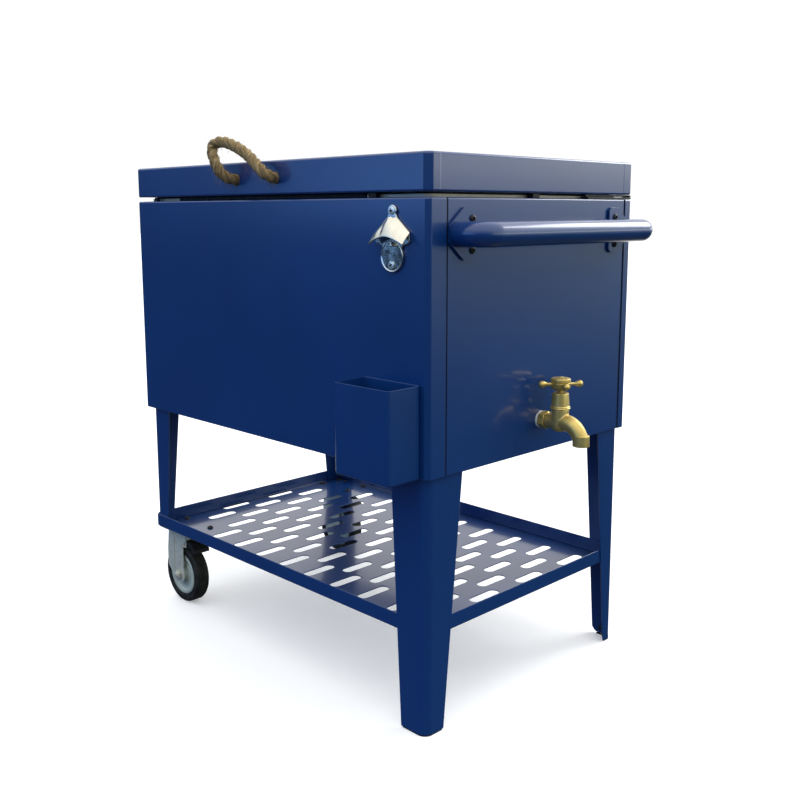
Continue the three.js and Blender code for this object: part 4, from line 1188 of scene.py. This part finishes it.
def fasteners():
    floor = node_box("shelf_tray")[0].z
    on_shelf, under = [], []
    for label in ("front", "back"):
        middle, half = middle_and_half(f"caster_fork_{label}")
        for sx, sy in ((-1, -1), (-1, 1), (1, -1), (1, 1)):
            x, y = middle.x + sx * CASTER_BOLTS[0], middle.y + sy * CASTER_BOLTS[1]
            on_shelf.append(shifted(pan_bolt(5.6, 3.4), x, y, floor + SHEET))
            under.append(shifted(hex_nut(8, 3.6, 2.6, 0.8, 36), x, y, middle.z + half.z - 6.4))
    for sy in (-1, 1):
        for dx, dy in SHELF_STUDS:
            x, y = SHELF_CORNER[0] + dx, sy * (SHELF_CORNER[1] - dy)
            stud = lathe([(2.2, 0), (2.2, 6.2), (1.6, 6.8)], 20)
            under.append(shifted(stud, x, y, floor - 6.8))
            under.append(shifted(hex_nut(7, 3, 2.1, 0.7, 36), x, y, floor - 3.2))
            on_shelf.append(shifted(pan_bolt(3.6, 2.2), x, y, floor + SHEET))
        on_shelf.append(shifted(pan_bolt(3.2, 2), SHELF_PIN[0], sy * SHELF_PIN[1], floor + SHEET))
    make("shelf_bolts", joined(*on_shelf), BLACK_STEEL, "cart")
    make("shelf_nuts", joined(*under), BLACK_STEEL, "cart")

    leg_bolts = []
    downwards = turned(pan_bolt(4.6, 3), 180, "X")
    for node, (sx, sy, *_) in LEGS.items():
        corner_x, corner_y = leg_reach(node)
        top_z = node_box(node)[1].z - SHEET
        for dx, dy in LEG_BOLTS:
            leg_bolts.append(shifted(downwards, sx * (corner_x - dx), sy * (corner_y - dy), top_z))
        if sx > 0:
            inwards = turned(pan_bolt(4.6, 2.6), 90 * sy, "X")
            leg_bolts.append(shifted(inwards, LOW_BOLT_X, sy * (corner_y - SHEET), LOW_BOLT_Z))
            leg_bolts.append(shifted(inwards, SHELF_BOLT_X, sy * (corner_y - 3.4), floor + 12))
    make("leg_bolts", joined(*leg_bolts), BLACK_STEEL, "cart")


rope_pull()
casing()
lid_shell()
front_shade_strip()
lid_lining()
legs()
tray()
wheels()
push_handle()
bottle_opener()
cap_catcher()
drain_tap()
fasteners()
finish_nodes()


# ---- stage ----
def area_light(name, position, target, size, power, colour=(1, 1, 1)):
    data = bpy.data.lights.new(name, "AREA")
    data.shape = "RECTANGLE"
    data.size, data.size_y = size
    data.energy = power
    data.color = colour
    light = add_object(name, data)
    light.location = position
    light.rotation_mode = "QUATERNION"
    light.rotation_quaternion = (Vector(target) - Vector(position)).to_track_quat("-Z", "Y")


# Sky colours are (height, colour) pairs, with height from -1 straight down to 1 straight up.
BACKDROP = (1.05, 1.05, 1.05)
BELOW = (-1, (0.08, 0.09, 0.11))
OVERHEAD = [(0.7, (1.4, 1.4, 1.4)), (1, (1.6, 1.6, 1.6))]
SKY_BACK_LEFT = [BELOW, (-0.04, (0.015, 0.025, 0.04)), (0.05, (0.05, 0.1, 0.2)),
                 (0.3, (0.45, 0.6, 0.85))] + OVERHEAD
SKY_LEFT = [BELOW, (-0.02, (0.015, 0.03, 0.06)), (0.015, (0.7, 1.5, 3.4)),
            (0.07, (0.55, 1.1, 2.4)), (0.3, (0.55, 0.8, 1.15))] + OVERHEAD
SKY_RIGHT = [(-1, (0.08, 0.09, 0.1)), (-0.22, (0.02, 0.035, 0.045)), (-0.03, (0.34, 0.46, 0.5)),
             (0.02, (1.1, 1.15, 1.1)), (0.055, (3.2, 3.2, 3.1)), (0.12, (0.95, 1.1, 1.15)),
             (0.6, (1.4, 1.4, 1.4)), (1, (1.6, 1.6, 1.6))]
SKY_FRONT = [BELOW, (-0.05, (0.03, 0.06, 0.11)), (0.05, (0.12, 0.22, 0.38)),
             (0.3, (0.45, 0.55, 0.7))] + OVERHEAD


def sky():
    """Soft light all round, in sectors that differ near the horizon: dim blue to the back left,
    bright blue to the left, a bright band to the right and dim blue in front. It is white above,
    white behind the cooler, and white wherever the camera looks straight at it."""
    world = bpy.data.worlds.new("studio")
    bpy.context.scene.world = world
    world.use_nodes = True
    tree = world.node_tree

    direction = add_node(tree, "ShaderNodeTexCoord").outputs["Generated"]

    def towards(x, y, z):
        dot = add_node(tree, "ShaderNodeVectorMath", {"operation": "DOT_PRODUCT"})
        tree.links.new(direction, dot.inputs[0])
        dot.inputs[1].default_value = (x, y, z)
        return dot.outputs["Value"]

    def span(value, start, end):
        return add_node(tree, "ShaderNodeMapRange", {"interpolation_type": "SMOOTHSTEP"},
                        Value=value, From_Min=start, From_Max=end).outputs[0]

    def sector(stops):
        return colour_ramp(tree, climb, [(0.5 + 0.5 * height, colour) for height, colour in stops])

    climb = add_node(tree, "ShaderNodeMapRange", Value=towards(0, 0, 1), From_Min=-1.0,
                     From_Max=1.0).outputs[0]
    left = colour_mix(tree, span(towards(0.707, -0.707, 0), -0.25, 0.1), sector(SKY_BACK_LEFT),
                      sector(SKY_LEFT))
    around = colour_mix(tree, span(towards(0.707, 0.707, 0), -0.2, 0.4), left,
                        sector(SKY_RIGHT))
    around = colour_mix(tree, span(towards(0.707, -0.707, 0), 0.6, 0.95), around,
                        sector(SKY_FRONT))
    backdrop = span(towards(-0.699, 0.715, 0), 0.74, 0.86)
    lit = colour_mix(tree, backdrop, around, BACKDROP)
    seen = add_node(tree, "ShaderNodeLightPath").outputs["Is Camera Ray"]
    connect(tree, tree.nodes["Background"].inputs["Color"],
            colour_mix(tree, seen, lit, BACKDROP))


def studio():
    mesh = bpy.data.meshes.new("floor")
    mesh.from_pydata([(*corner, 0) for corner in rectangle(30, 30)], [], [(0, 1, 2, 3)])
    floor = add_object("floor", mesh)
    mesh.materials.append(floor_finish())
    floor.visible_glossy = False
    floor.visible_diffuse = False

    sky()
    area_light("key", place(900, 2400, 1900), place(380, 20, 500), (1.1, 1.1), 26)
    bpy.context.scene.view_settings.view_transform = "Standard"


studio()
